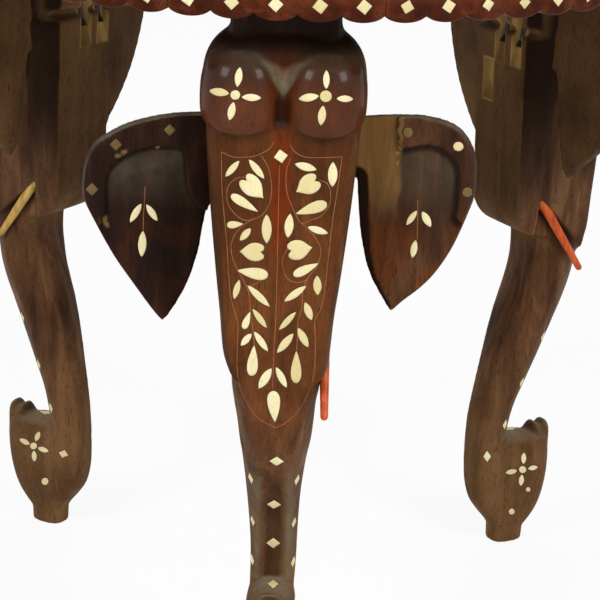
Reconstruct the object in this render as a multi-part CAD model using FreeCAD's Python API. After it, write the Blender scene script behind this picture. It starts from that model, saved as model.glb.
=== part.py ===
import FreeCAD, Part
import math
import os

# Round side table with three elephant-head legs, bone inlay and a scalloped apron.
# Millimetres, +Z up. The origin is on the floor under the middle of the top, and
# the front leg faces -Y. A leg is drawn once, with +X pointing outwards from the
# middle of the table and +Y across the leg, and is then turned to its place. Right
# and left are those of a person who stands outside and faces the leg.

V = FreeCAD.Vector

# Top board and apron
TABLE_HEIGHT = 440.0
TOP_THICKNESS = 16.0
TOP_OVERHANG = 2.0
TOP_EDGE_ROUND = 4.0
APRON_RADIUS = 230.0
APRON_THICKNESS = 12.0
APRON_HEIGHT = 20.0
APRON_SEGMENTS = 13
APRON_TURN = -1.2
SEGMENT_JOINT = 0.2
SCALLOPS_PER_SEGMENT = 5
SCALLOP_DEPTH = 3.6
APRON_DIAMOND = 7.2
APRON_DIAMOND_RISE = 8.4

# Inlay in the top
BORDER_DIAMOND = 6.0
BORDER_INSET = 12.0
WREATH_RADIUS = 165.0
WREATH_LEAVES = 24
WREATH_LEAF_LENGTH = 22.0
WREATH_LEAF_WIDTH = 8.0
WREATH_LEAF_TILT = 38.0
WREATH_LEAF_SPREAD = 9.2
ROSETTE_PETALS = 8
ROSETTE_PETAL_LENGTH = 34.0
ROSETTE_PETAL_WIDTH = 11.0
ROSETTE_BUTTON = 15.0
ROSETTE_GAP = 2.0

# Head of a leg: depths are taken inwards from the apron, heights down from the top board
FOREHEAD_SETBACK = 12.0
BROW_STEP = 8.0
HEAD_DEPTH = 62.0
HEAD_BACK_WIDTH = 52.0
HEAD_BACK_CHAMFER = 16.0
HEAD_BACK_LEAN = 6.0
HEAD_CORNER = 7.0
NECK_LENGTH = 38.0
NECK_WIDTH = 56.0
NECK_DEPTH = 48.0
DOME_HEIGHT = 43.0
DOME_WIDTH = 43.0
DOME_DEPTH = 25.0
DOME_CUT = 13.0
# Skull behind the domes: share of their height above the brow, width beyond the face's top
SKULL_STATIONS = ((0.0, 0.0), (0.5, 6.0), (0.82, 4.0), (1.0, -6.0))
SKULL_RISE = 8.0
FACE_LENGTH = 139.0
FACE_TOP_WIDTH = 80.0
FACE_BOTTOM_WIDTH = 54.0
CHEEK_NOTCH_LENGTH = 42.0
CHEEK_NOTCH_RISE = 38.0
JAW_ROUND = 24.0
JAW_RISE = 11.0

# Trunk, from the step under the face to the foot, at stations down its length:
# share of the way down, distance of its front behind the face, depth and width
TRUNK_STATIONS = (
    (-0.16, 2.0, 32.0, 44.0),
    (0.00, 0.0, 34.0, 45.0),
    (0.18, 2.5, 36.0, 41.5),
    (0.36, 10.0, 37.5, 35.5),
    (0.58, 21.5, 34.0, 29.5),
    (0.79, 33.5, 27.0, 26.5),
    (1.10, 43.0, 22.5, 25.0),
)
TRUNK_ROUNDNESS = 0.36

# Foot: the trunk's end, curled up in front to a grooved lip, on a small pad
FOOT_HEIGHT = 74.0
FOOT_WIDTH = 28.0
FOOT_LENGTH = 58.0
FOOT_CHAMFER = 4.0
CURL_LIP = 3.0
CURL_LIP_LENGTH = 9.0
CURL_LIP_SLOPE = 0.5
CURL_GROOVE_DEPTH = 2.5
CURL_HOLLOW_DEPTH = 4.0
CURL_HOLLOW_LENGTH = 2.5
CURL_TIP_WIDTH = 9.0
CURL_TAPER = 18.0
CURL_RIDGE = 1.0
PAD_HEIGHT = 13.0
PAD_LENGTH = 20.0
PAD_WIDTH = 18.0
PAD_SETBACK = 20.0
# Points of the heel and of the toe: distance in from the end, share of the foot's height
HEEL_CURVE = ((0.0, 1.0), (0.5, 0.72), (4.0, 0.42))
TOE_CURVE = ((8.0, 0.36), (1.2, 0.63), (0.5, 1.0))

# Ears, each with a raised band round its upper and outer edge
EAR_THICKNESS = 9.0
EAR_FIELD_DEPTH = 2.5
EAR_WIDTH = 66.0
EAR_LENGTH = 107.0
EAR_TIP_IN = 23.0
EAR_BAND = 12.5
EAR_BAND_LENGTH = 54.0
EAR_ROOT_LENGTH = 54.0
EAR_SWEEP = 14.0
EAR_SETBACK = 45.0
EAR_DROP_FRONT = 83.0
EAR_DROP_REAR = 49.0
TONGUE_LENGTH = 9.0
TONGUE_THICKNESS = 5.0
TONGUE_MARGIN = 7.0
TONGUE_CLEARANCE = 0.15
# Points round the ear's outer edge, and on its inner edge: shares of its width and length
EAR_OUTER_CURVE = ((0.42, 0.01), (0.79, 0.095), (1.00, 0.335), (0.94, 0.53), (0.65, 0.80))
EAR_INNER_CURVE = ((0.12, 0.80),)
EAR_FIELD_CURVE = ((0.42, 0.16), (0.76, 0.265))
EAR_FIELD_TOP = 0.20
EAR_DOT_PLACES = ((0.36, 0.065), (0.80, 0.13), (0.925, 0.36))
EAR_SPRIG = ((0.63, 0.46, -55), (0.49, 0.46, -125), (0.57, 0.61, -92))

# Tusks, pegged into the cheeks
TUSK_DIAMETER = 6.4
TUSK_TIP_DIAMETER = 4.2
TUSK_LENGTHS = {"front": 52.0, "rear_right": 52.0, "rear_left": 42.0}
TUSK_PEG = 12.0
TUSK_SLOPE = 56.0
TUSK_SPREAD = 2.0
TUSK_CLEARANCE = 0.1
TUSK_WALL = 1.4
LOOSE_TUSK_OUT = 8.5

# Pocket screws that hold a leg to the top
SCREW_LENGTH = 96.0
SCREW_SHANK = 4.8
SCREW_HEAD = 9.0
SCREW_HEAD_HEIGHT = 4.0
SCREW_TILT = 6.0
SCREW_BITE = 11.0
SCREW_SPACING = 18.0
SCREW_SHIFT = -8.0
SCREW_CLEARANCE = 0.15
POCKET_WIDTH = 11.0
POCKET_DEPTH = 12.0
POCKET_TAIL = 12.0
POCKET_TOP_DROP = 46.0
SPARE_POCKET_DROP = 97.0
SPARE_POCKET_LENGTH = 26.0
SPARE_POCKET_DEPTH = 4.0
SPARE_POCKET_SHIFT = 13.0

# Inlay on the legs and ears
INLAY_DEPTH = 2.5
FACE_DIAMOND = 7.4
FACE_DIAMOND_DROP = 13.0
FACE_POINT_DROP = 147.5
FACE_POINT_LENGTH = 16.0
FACE_POINT_WIDTH = 7.4
TRUNK_DIAMOND_LENGTH = 4.6
TRUNK_DIAMOND_WIDTH = 7.0
TRUNK_DIAMOND_SHARES = (0.35, 0.565, 0.77, 0.965)
TRUNK_SIDE_SHARES = (0.41, 0.63, 0.85)
FLOWER_BUTTON = 5.2
FLOWER_PETAL_LENGTH = 10.0
FLOWER_PETAL_WIDTH = 4.0
FLOWER_GAP = 0.8
FLOWER_RISE = 4.0
FOOT_BUTTON = 3.2
FOOT_PETAL_LENGTH = 6.0
FOOT_PETAL_WIDTH = 2.8
FOOT_GAP = 0.6
FOOT_FLOWER_PLACE = (0.64, 0.68)
FOOT_DIAMOND_PLACE = (0.15, 0.83)
FOOT_DOT_PLACE = (0.50, 0.29)
EAR_DOT = 6.0
EAR_LEAF_LENGTH = 11.5
EAR_LEAF_WIDTH = 4.2

# Half of the vine on the face: shape, distance from the middle, drop below the brow,
# length, width and the direction of its point (0 outwards, 90 up, -90 down)
FACE_VINE = (
    ("leaf", 25.5, 20.5, 11.5, 4.0, 60),
    ("leaf", 12.5, 19.5, 12.5, 4.0, 130),
    ("heart", 14.5, 30.0, 12.5, 10.5, -140),
    ("drop", 18.5, 41.0, 15.0, 5.6, -150),
    ("leaf", 23.5, 50.5, 8.5, 4.0, 0),
    ("leaf", 5.5, 52.0, 14.5, 5.0, 90),
    ("leaf", 17.0, 55.5, 8.0, 3.7, -50),
    ("heart", 12.5, 64.5, 12.5, 10.0, 0),
    ("drop", 13.0, 76.0, 15.0, 6.2, 10),
    ("leaf", 20.5, 84.5, 10.5, 3.8, -70),
    ("leaf", 9.5, 89.0, 15.0, 3.8, 130),
    ("drop", 15.5, 101.0, 9.5, 4.1, 70),
    ("leaf", 8.0, 101.5, 12.0, 3.2, 125),
    ("leaf", 15.5, 111.5, 9.0, 3.8, -60),
    ("leaf", 7.5, 113.0, 12.5, 3.8, 125),
    ("drop", 11.0, 124.5, 15.5, 6.2, 90),
    ("leaf", 4.5, 132.5, 12.0, 4.4, 60),
)
# A heart's upper edge from its point to its notch: shares of half its length and width
HEART_CURVE = ((0.0, 0.82), (-0.75, 0.9), (-1.0, 0.5))
HEART_NOTCH = -0.56

LEG_TURNS = {"front": 0.0, "rear_right": 120.0, "rear_left": -120.0}
SIDES = {"right": 1, "left": -1}
MISSING_TUSK = ("front", "left")
LOOSE_TUSK = ("front", "right")
SPARE_POCKET_LEG = "rear_right"

# Levels and distances that follow from the sizes above
UNDERSIDE = TABLE_HEIGHT - TOP_THICKNESS
TOP_RADIUS = APRON_RADIUS + TOP_OVERHANG
APRON_BOTTOM = UNDERSIDE - APRON_HEIGHT
SEGMENT_ANGLE = 360.0 / APRON_SEGMENTS
SCALLOP_ANGLE = SEGMENT_ANGLE / SCALLOPS_PER_SEGMENT
SCALLOPS = APRON_SEGMENTS * SCALLOPS_PER_SEGMENT
FOREHEAD_FRONT = APRON_RADIUS - FOREHEAD_SETBACK
FACE_FRONT = FOREHEAD_FRONT - BROW_STEP
HEAD_BACK = FACE_FRONT - HEAD_DEPTH
NECK_FRONT = HEAD_BACK + NECK_DEPTH
DOME_TOP = UNDERSIDE - NECK_LENGTH
DOME_MIDDLE = DOME_TOP - (DOME_HEIGHT + DOME_CUT) / 2
DOME_BACK = FOREHEAD_FRONT - DOME_DEPTH
BROW = DOME_TOP - DOME_HEIGHT
STEP = BROW - FACE_LENGTH
NOTCH_CORNER = FACE_FRONT - CHEEK_NOTCH_LENGTH
TRUNK_LENGTH = STEP - FOOT_HEIGHT
FAR = 2 * APRON_RADIUS


# Small helpers
def turn(shape, angle):
    return shape.rotated(V(0, 0, 0), V(0, 0, 1), angle)


def mirrored(shape):
    return shape.mirror(V(0, 0, 0), V(0, 1, 0))


def line_edge(start, end):
    return Part.LineSegment(V(*start), V(*end)).toShape()


def spline_edge(points):
    curve = Part.BSplineCurve()
    curve.interpolate([V(*p) for p in points])
    return curve.toShape()


def face_of(edges):
    return Part.Face(Part.Wire(edges))


def polygon_face(points):
    corners = list(points) + [points[0]]
    return face_of([line_edge(a, b) for a, b in zip(corners, corners[1:])])


def placed(shape, x_axis, y_axis, z_axis, origin):
    matrix = FreeCAD.Matrix(x_axis.x, y_axis.x, z_axis.x, origin.x,
                            x_axis.y, y_axis.y, z_axis.y, origin.y,
                            x_axis.z, y_axis.z, z_axis.z, origin.z,
                            0, 0, 0, 1)
    return shape.transformGeometry(matrix)


def across_leg(face, middle, width):
    """Extrude a face drawn in X and Z across the leg, about the given middle."""
    solid = face.extrude(V(0, width, 0))
    solid.translate(V(0, middle - width / 2, 0))
    return solid


def let_in(body, prisms):
    """Sink inlay into a body: the body with its seats, and the flush pieces."""
    pieces = [solid for prism in prisms for solid in body.common(prism).Solids]
    return body.cut(Part.makeCompound(prisms)), pieces


def save(name, shape):
    if isinstance(shape, list):
        shape = Part.makeCompound(shape)
    shape.exportStep("parts/" + name + ".step")
    print(name, len(shape.Solids), "solids", round(shape.Volume, 1), "mm3, valid:", shape.isValid())


# Inlay outlines, drawn flat in X and Y with the point towards +X
def lozenge(length, width):
    a, b = length / 2, width / 2
    return polygon_face([(a, 0, 0), (0, b, 0), (-a, 0, 0), (0, -b, 0)])


def disc(diameter):
    return Part.Face(Part.Wire(Part.makeCircle(diameter / 2)))


def leaf(length, width):
    a, b = length / 2, width / 2
    upper = Part.Arc(V(a, 0, 0), V(0, b, 0), V(-a, 0, 0)).toShape()
    lower = Part.Arc(V(-a, 0, 0), V(0, -b, 0), V(a, 0, 0)).toShape()
    return face_of([upper, lower])


def drop(length, width):
    tip, radius = length / 2, width / 2
    centre = radius - tip
    meet = math.acos(radius / (tip - centre))
    x, y = centre + radius * math.cos(meet), radius * math.sin(meet)
    bulb = Part.Arc(V(x, y, 0), V(-tip, 0, 0), V(x, -y, 0)).toShape()
    return face_of([bulb, line_edge((x, -y, 0), (tip, 0, 0)), line_edge((tip, 0, 0), (x, y, 0))])


def heart(length, width):
    tip, half = length / 2, width / 2
    edge = [(tip, 0.0, 0)] + [(x * tip, y * half, 0) for x, y in HEART_CURVE]
    edge.append((HEART_NOTCH * tip, 0.0, 0))
    other = [(x, -y, 0) for x, y, z in reversed(edge)]
    return face_of([spline_edge(edge), spline_edge(other)])


def flower(button, petal_length, petal_width, gap):
    shapes = [disc(button)]
    for quarter in range(4):
        petal = leaf(petal_length, petal_width)
        petal.translate(V(button / 2 + gap + petal_length / 2, 0, 0))
        shapes.append(turn(petal, 90.0 * quarter))
    return shapes


OUTLINES = {"leaf": leaf, "drop": drop, "heart": heart}


def on_front(outline, across, height, angle, surface, reach):
    """A prism on the leg's front, from INLAY_DEPTH inside the surface to outside it."""
    face = placed(turn(outline, angle), V(0, 1, 0), V(0, 0, 1), V(1, 0, 0),
                  V(surface - INLAY_DEPTH, across, height))
    return face.extrude(V(reach + INLAY_DEPTH, 0, 0))


def on_side(outline, along, height, surface, reach):
    """A prism on the leg's right side."""
    face = placed(outline, V(1, 0, 0), V(0, 0, 1), V(0, -1, 0),
                  V(along, surface - INLAY_DEPTH, height))
    return face.extrude(V(0, reach + INLAY_DEPTH, 0))


# Top board
def make_top():
    board = Part.makeCylinder(TOP_RADIUS, TOP_THICKNESS, V(0, 0, UNDERSIDE))
    rims = [edge for edge in board.Edges if isinstance(edge.Curve, Part.Circle)]
    return board.makeFillet(TOP_EDGE_ROUND, rims)


def top_prism(outline, radius, angle, around):
    face = turn(outline, angle)
    face.translate(V(radius, 0, TABLE_HEIGHT - INLAY_DEPTH))
    return turn(face, around).extrude(V(0, 0, INLAY_DEPTH))


def top_border():
    radius = TOP_RADIUS - TOP_EDGE_ROUND - BORDER_INSET
    stone = lozenge(BORDER_DIAMOND, BORDER_DIAMOND)
    return [top_prism(stone, radius, 0, APRON_TURN + i * SCALLOP_ANGLE) for i in range(SCALLOPS)]


def top_wreath():
    shape = leaf(WREATH_LEAF_LENGTH, WREATH_LEAF_WIDTH)
    prisms = []
    for i in range(WREATH_LEAVES):
        around = i * 360.0 / WREATH_LEAVES
        for side in (1, -1):
            radius = WREATH_RADIUS + side * WREATH_LEAF_SPREAD
            prisms.append(top_prism(shape, radius, 90.0 - side * WREATH_LEAF_TILT, around))
    return prisms


def top_rosette():
    petal = leaf(ROSETTE_PETAL_LENGTH, ROSETTE_PETAL_WIDTH)
    radius = ROSETTE_BUTTON / 2 + ROSETTE_GAP + ROSETTE_PETAL_LENGTH / 2
    petals = [top_prism(petal, radius, 0, i * 360.0 / ROSETTE_PETALS) for i in range(ROSETTE_PETALS)]
    return [top_prism(disc(ROSETTE_BUTTON), 0, 0, 0)] + petals


# Apron: butt-jointed curved segments with a scalloped lower edge
def make_segment():
    """One segment about the +X axis, with a seat and a bone diamond in each scallop."""
    sweep = SEGMENT_ANGLE - math.degrees(SEGMENT_JOINT / APRON_RADIUS)
    base = V(0, 0, APRON_BOTTOM)
    ring = Part.makeCylinder(APRON_RADIUS, APRON_HEIGHT, base, V(0, 0, 1), sweep)
    ring = ring.cut(Part.makeCylinder(APRON_RADIUS - APRON_THICKNESS, APRON_HEIGHT, base))
    ring = turn(ring, -sweep / 2)
    valley = APRON_BOTTOM + SCALLOP_DEPTH
    half = SCALLOPS_PER_SEGMENT / 2
    valleys = [(i - half) * SCALLOP_ANGLE for i in range(SCALLOPS_PER_SEGMENT + 1)]
    places = [APRON_RADIUS * math.sin(math.radians(angle)) for angle in valleys]
    edges = []
    for start, end in zip(places, places[1:]):
        bottom = V(0, (start + end) / 2, APRON_BOTTOM)
        edges.append(Part.Arc(V(0, start, valley), bottom, V(0, end, valley)).toShape())
    corners = [(0, places[-1], valley), (0, places[-1], UNDERSIDE),
               (0, places[0], UNDERSIDE), (0, places[0], valley)]
    edges += [line_edge(a, b) for a, b in zip(corners, corners[1:])]
    segment = ring.common(face_of(edges).extrude(V(FAR, 0, 0)))
    stone = on_front(lozenge(APRON_DIAMOND, APRON_DIAMOND), 0, APRON_BOTTOM + APRON_DIAMOND_RISE, 0,
                     APRON_RADIUS, INLAY_DEPTH)
    middles = [(i + 0.5 - half) * SCALLOP_ANGLE for i in range(SCALLOPS_PER_SEGMENT)]
    return let_in(segment, [turn(stone, angle) for angle in middles])


# Head of a leg
def face_half_width(height):
    share = (BROW - height) / FACE_LENGTH
    return (FACE_TOP_WIDTH + (FACE_BOTTOM_WIDTH - FACE_TOP_WIDTH) * share) / 2


def head_back(height):
    return HEAD_BACK + HEAD_BACK_LEAN * (UNDERSIDE - height) / (UNDERSIDE - STEP)


def head_section(height, half_width, front):
    back = head_back(height)
    side = [(back, min(HEAD_BACK_WIDTH / 2, half_width)), (back + HEAD_BACK_CHAMFER, half_width),
            (front - HEAD_CORNER, half_width), (front, half_width - HEAD_CORNER)]
    points = [V(x, y, height) for x, y in side] + [V(x, -y, height) for x, y in reversed(side)]
    return Part.makePolygon(points + [points[0]])


def make_dome():
    """The right half of the forehead, cut off level at the brow."""
    dome = placed(Part.makeSphere(1.0), V(DOME_DEPTH, 0, 0), V(0, DOME_WIDTH / 2, 0),
                  V(0, 0, (DOME_HEIGHT + DOME_CUT) / 2), V(DOME_BACK, DOME_WIDTH / 2, DOME_MIDDLE))
    return dome.common(Part.makeBox(FAR, FAR, FAR, V(0, -FAR / 2, BROW)))


def dome_surface(across, height):
    sideways = (across - DOME_WIDTH / 2) / (DOME_WIDTH / 2)
    upwards = (height - DOME_MIDDLE) / ((DOME_HEIGHT + DOME_CUT) / 2)
    return DOME_BACK + DOME_DEPTH * math.sqrt(max(0.0, 1.0 - sideways ** 2 - upwards ** 2))


def jaw_waste(low):
    """What is sawn off under the head: rounded behind, and level up to the trunk."""
    bottom = STEP + JAW_RISE
    top = bottom + JAW_ROUND
    back = head_back(top)
    bend = JAW_ROUND * (1.0 - math.sqrt(0.5))
    through = V(back + bend, 0, bottom + bend)
    curve = Part.Arc(V(back, 0, top), through, V(back + JAW_ROUND, 0, bottom)).toShape()
    corners = [(back + JAW_ROUND, 0, bottom), (FACE_FRONT, 0, STEP), (FACE_FRONT, 0, low), (0, 0, low),
               (0, 0, top), (back, 0, top)]
    edges = [line_edge(a, b) for a, b in zip(corners, corners[1:])]
    return across_leg(face_of([curve] + edges), 0, FAR)


def cheek_notch(low):
    """What is cut away beside the trunk, under the right cheek."""
    side = trunk_at(0.0)[2] / 2
    outline = polygon_face([(FACE_FRONT, 0, STEP), (NOTCH_CORNER, 0, STEP + CHEEK_NOTCH_RISE),
                            (NOTCH_CORNER, 0, low), (FAR, 0, low), (FAR, 0, STEP)])
    return across_leg(outline, side + FAR / 2, FAR)


def make_head():
    low = STEP - CHEEK_NOTCH_RISE
    face = Part.makeLoft([head_section(low, face_half_width(low), FACE_FRONT),
                          head_section(BROW, face_half_width(BROW), FACE_FRONT)], True, True)
    notch = cheek_notch(low)
    face = face.cut(jaw_waste(low)).cut(notch).cut(mirrored(notch))
    skull = [head_section(BROW + share * DOME_HEIGHT, (FACE_TOP_WIDTH + wider) / 2, DOME_BACK)
             for share, wider in SKULL_STATIONS]
    neck = [head_section(height, NECK_WIDTH / 2, NECK_FRONT)
            for height in (DOME_TOP + SKULL_RISE, UNDERSIDE)]
    skull = Part.makeLoft(skull + neck, True, True)
    dome = make_dome()
    return face.fuse([skull, dome, mirrored(dome)])


# Trunk
def trunk_at(share):
    """Front, depth and width of the trunk at a share of the way down."""
    for (s0, f0, d0, w0), (s1, f1, d1, w1) in zip(TRUNK_STATIONS, TRUNK_STATIONS[1:]):
        if share <= s1:
            part = (share - s0) / (s1 - s0)
            return FACE_FRONT - f0 - part * (f1 - f0), d0 + part * (d1 - d0), w0 + part * (w1 - w0)


def rounded_section(height, front, depth, width):
    radius = TRUNK_ROUNDNESS * min(depth, width)
    bend = radius * math.sqrt(0.5)
    x_mid, x_in, y_in = front - depth / 2, depth / 2 - radius, width / 2 - radius
    edges = []
    corners = []
    for sx, sy in ((1, 1), (-1, 1), (-1, -1), (1, -1)):
        cx, cy = x_mid + sx * x_in, sy * y_in
        ends = [V(cx + sx * radius, cy, height), V(cx, cy + sy * radius, height)]
        if sx * sy < 0:
            ends.reverse()
        corners.append((ends[0], V(cx + sx * bend, cy + sy * bend, height), ends[1]))
    for corner, following in zip(corners, corners[1:] + corners[:1]):
        edges.append(Part.Arc(*corner).toShape())
        edges.append(Part.LineSegment(corner[2], following[0]).toShape())
    return Part.Wire(edges)


def make_trunk():
    wires = [rounded_section(STEP - share * TRUNK_LENGTH, FACE_FRONT - behind, depth, width)
             for share, behind, depth, width in TRUNK_STATIONS]
    return Part.makeLoft(wires, True, False)


# Foot
def foot_heel():
    front, depth, width = trunk_at(1.0)
    return front - depth


def make_foot():
    heel, web, top = foot_heel(), trunk_at(1.0)[0], FOOT_HEIGHT
    toe = heel + FOOT_LENGTH
    pad_back = heel + PAD_SETBACK
    pad_front = pad_back + PAD_LENGTH
    back = [(heel + x, 0, share * top) for x, share in HEEL_CURVE] + [(pad_back, 0, PAD_HEIGHT)]
    front = [(pad_front, 0, PAD_HEIGHT)] + [(toe - x, 0, share * top) for x, share in TOE_CURVE]
    tip = front[-1][0] - CURL_LIP_SLOPE
    groove, crest = tip - CURL_LIP_LENGTH / 2, tip - CURL_LIP_LENGTH
    upper = [front[-1], (tip, 0, top + CURL_LIP), (groove, 0, top + CURL_LIP - CURL_GROOVE_DEPTH),
             (crest, 0, top + CURL_LIP), (crest - CURL_HOLLOW_LENGTH, 0, top - CURL_HOLLOW_DEPTH),
             (web, 0, top), back[0]]
    edges = [spline_edge(back), line_edge(back[-1], front[0]), spline_edge(front)]
    edges += [line_edge(a, b) for a, b in zip(upper, upper[1:])]
    boot = across_leg(face_of(edges), 0, FOOT_WIDTH)
    half, ends = FOOT_WIDTH / 2, FOOT_WIDTH / 2 - FOOT_CHAMFER
    side = [(heel, ends, 0), (heel + FOOT_CHAMFER, half, 0), (toe - FOOT_CHAMFER, half, 0), (toe, ends, 0)]
    plan = polygon_face(side + [(x, -y, z) for x, y, z in reversed(side)])
    boot = boot.common(plan.extrude(V(0, 0, top + 2 * CURL_LIP)))
    ridge = top + CURL_LIP + CURL_RIDGE
    gable = polygon_face([(0, -half - FOOT_CHAMFER, 0), (0, half + FOOT_CHAMFER, 0),
                          (0, half + FOOT_CHAMFER, ridge - CURL_TAPER), (0, CURL_TIP_WIDTH / 2, ridge),
                          (0, -CURL_TIP_WIDTH / 2, ridge), (0, -half - FOOT_CHAMFER, ridge - CURL_TAPER)])
    boot = boot.common(gable.extrude(V(FAR, 0, 0)))
    pad = Part.makeBox(PAD_LENGTH, PAD_WIDTH, PAD_HEIGHT, V(pad_back, -PAD_WIDTH / 2, 0))
    return boot.fuse(pad)


# Tusks, drawn on the right side
def tusk_root():
    across = face_half_width(STEP + CHEEK_NOTCH_RISE) - TUSK_DIAMETER / 2 - TUSK_WALL
    return V(NOTCH_CORNER + TUSK_DIAMETER, across, STEP + CHEEK_NOTCH_RISE - TUSK_DIAMETER)


def tusk_direction():
    slope, spread = math.radians(TUSK_SLOPE), math.radians(TUSK_SPREAD)
    return V(math.cos(slope), math.sin(spread), -math.sin(slope)).normalize()


def make_tusk(length):
    root, way = tusk_root(), tusk_direction()
    straight = length - TUSK_TIP_DIAMETER / 2
    peg = Part.makeCylinder(TUSK_DIAMETER / 2, TUSK_PEG, root - way * TUSK_PEG, way)
    horn = Part.makeCone(TUSK_DIAMETER / 2, TUSK_TIP_DIAMETER / 2, straight, root, way)
    tip = Part.makeSphere(TUSK_TIP_DIAMETER / 2, root + way * straight)
    return peg.fuse([horn, tip]).removeSplitter()


def tusk_hole():
    depth = TUSK_PEG + TUSK_CLEARANCE
    way = tusk_direction()
    bottom = tusk_root() - way * depth
    return Part.makeCylinder(TUSK_DIAMETER / 2 + TUSK_CLEARANCE, depth + TUSK_DIAMETER, bottom, way)


# Pocket screws: long screws up into the top, from slots chiselled in the back of the head
def screw_places():
    return (SCREW_SHIFT + SCREW_SPACING / 2, SCREW_SHIFT - SCREW_SPACING / 2)


def screw_foot(across):
    height = UNDERSIDE + SCREW_BITE - SCREW_LENGTH * math.cos(math.radians(SCREW_TILT))
    return V(head_back(height) + SCREW_HEAD / 2, across, height)


def make_screw(across, clearance):
    tilt = math.radians(SCREW_TILT)
    foot, axis = screw_foot(across), V(math.sin(tilt), 0, math.cos(tilt))
    shank_radius = SCREW_SHANK / 2 + clearance
    shank_length = SCREW_LENGTH - SCREW_HEAD_HEIGHT + clearance
    head = Part.makeCone(SCREW_HEAD / 2 + clearance, shank_radius, SCREW_HEAD_HEIGHT, foot, axis)
    shank = Part.makeCylinder(shank_radius, shank_length, foot + axis * SCREW_HEAD_HEIGHT, axis)
    return head.fuse(shank)


def make_pocket(across, low, top, depth):
    """A slot that gets deeper upwards and ends in a level ledge."""
    ledge = head_back(top) + depth
    outline = polygon_face([(0, 0, low), (head_back(low), 0, low), (ledge, 0, top), (0, 0, top)])
    return across_leg(outline, across, POCKET_WIDTH)


def screw_pocket(across):
    low = screw_foot(across).z - POCKET_TAIL
    return make_pocket(across, low, UNDERSIDE - POCKET_TOP_DROP, POCKET_DEPTH)


def spare_pocket():
    top = UNDERSIDE - SPARE_POCKET_DROP
    return make_pocket(SPARE_POCKET_SHIFT, top - SPARE_POCKET_LENGTH, top, SPARE_POCKET_DEPTH)


# Ears: drawn flat with X outwards from the head, Y up and the carved face towards +Z
def ear_point(share):
    return (share[0] * EAR_WIDTH, -share[1] * EAR_LENGTH, 0)


def ear_board():
    """The board, long enough at its root to be scribed to the head."""
    tip, root_low = (EAR_TIP_IN, -EAR_LENGTH, 0), (0, -EAR_ROOT_LENGTH, 0)
    outer = spline_edge([(0, 0, 0)] + [ear_point(p) for p in EAR_OUTER_CURVE] + [tip])
    inner = spline_edge([tip] + [ear_point(p) for p in EAR_INNER_CURVE] + [root_low])
    root = [root_low, (-TONGUE_LENGTH, -EAR_ROOT_LENGTH, 0), (-TONGUE_LENGTH, 0, 0), (0, 0, 0)]
    outline = face_of([outer, inner] + [line_edge(a, b) for a, b in zip(root, root[1:])])
    field = ear_field().extrude(V(0, 0, EAR_FIELD_DEPTH))
    field.translate(V(0, 0, EAR_THICKNESS - EAR_FIELD_DEPTH))
    return outline.extrude(V(0, 0, EAR_THICKNESS)).cut(field)


def ear_field():
    """The sunk field: it stops at the band above and outside, and runs out below."""
    start = (EAR_BAND, -EAR_FIELD_TOP * EAR_LENGTH, 0)
    end = (EAR_WIDTH - EAR_BAND, -EAR_BAND_LENGTH, 0)
    crest = spline_edge([start] + [ear_point(p) for p in EAR_FIELD_CURVE] + [end])
    far = EAR_WIDTH + EAR_LENGTH
    corners = [end, (far, -EAR_BAND_LENGTH, 0), (far, -far, 0), (EAR_BAND, -far, 0), start]
    return face_of([crest] + [line_edge(a, b) for a, b in zip(corners, corners[1:])])


def ear_tongue(clearance):
    height = EAR_ROOT_LENGTH - 2 * TONGUE_MARGIN
    corner = V(-TONGUE_LENGTH - clearance, TONGUE_MARGIN - EAR_ROOT_LENGTH - clearance,
               (EAR_THICKNESS - TONGUE_THICKNESS) / 2 - clearance)
    length, thickness = 2 * TONGUE_LENGTH + clearance, TONGUE_THICKNESS + 2 * clearance
    return Part.makeBox(length, height + 2 * clearance, thickness, corner)


def ear_prisms():
    dot, sprig_leaf = lozenge(EAR_DOT, EAR_DOT), leaf(EAR_LEAF_LENGTH, EAR_LEAF_WIDTH)
    flat = [(dot, place, 0, EAR_THICKNESS) for place in EAR_DOT_PLACES]
    flat += [(sprig_leaf, (x, y), angle, EAR_THICKNESS - EAR_FIELD_DEPTH) for x, y, angle in EAR_SPRIG]
    prisms = []
    for outline, place, angle, surface in flat:
        face = turn(outline, angle)
        x, y, z = ear_point(place)
        face.translate(V(x, y, surface - INLAY_DEPTH))
        prisms.append(face.extrude(V(0, 0, INLAY_DEPTH)))
    return prisms


def on_head(shape, ear_drop, side):
    """Stand a flat ear against the side of the head, swept forward."""
    sweep = math.radians(EAR_SWEEP)
    out = V(math.sin(sweep), math.cos(sweep), 0)
    up = V(0, 0, 1)
    top = UNDERSIDE - ear_drop
    corner = V(FACE_FRONT - EAR_SETBACK, face_half_width(top), top)
    moved = placed(shape, out, up, out.cross(up), corner)
    return moved if side > 0 else mirrored(moved)


# Inlay on a leg, as prisms to sink into it
def face_prisms():
    stone = lozenge(FACE_DIAMOND, FACE_DIAMOND)
    prisms = [on_front(stone, 0, BROW - FACE_DIAMOND_DROP, 0, FACE_FRONT, BROW_STEP)]
    for kind, across, fall, length, width, angle in FACE_VINE:
        outline = OUTLINES[kind](length, width)
        prism = on_front(outline, across, BROW - fall, angle, FACE_FRONT, BROW_STEP)
        prisms += [prism, mirrored(prism)]
    height = BROW - FACE_POINT_DROP
    surface = trunk_at((STEP - height) / TRUNK_LENGTH)[0]
    point = drop(FACE_POINT_LENGTH, FACE_POINT_WIDTH)
    return prisms + [on_front(point, 0, height, -90, surface, BROW_STEP)]


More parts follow.
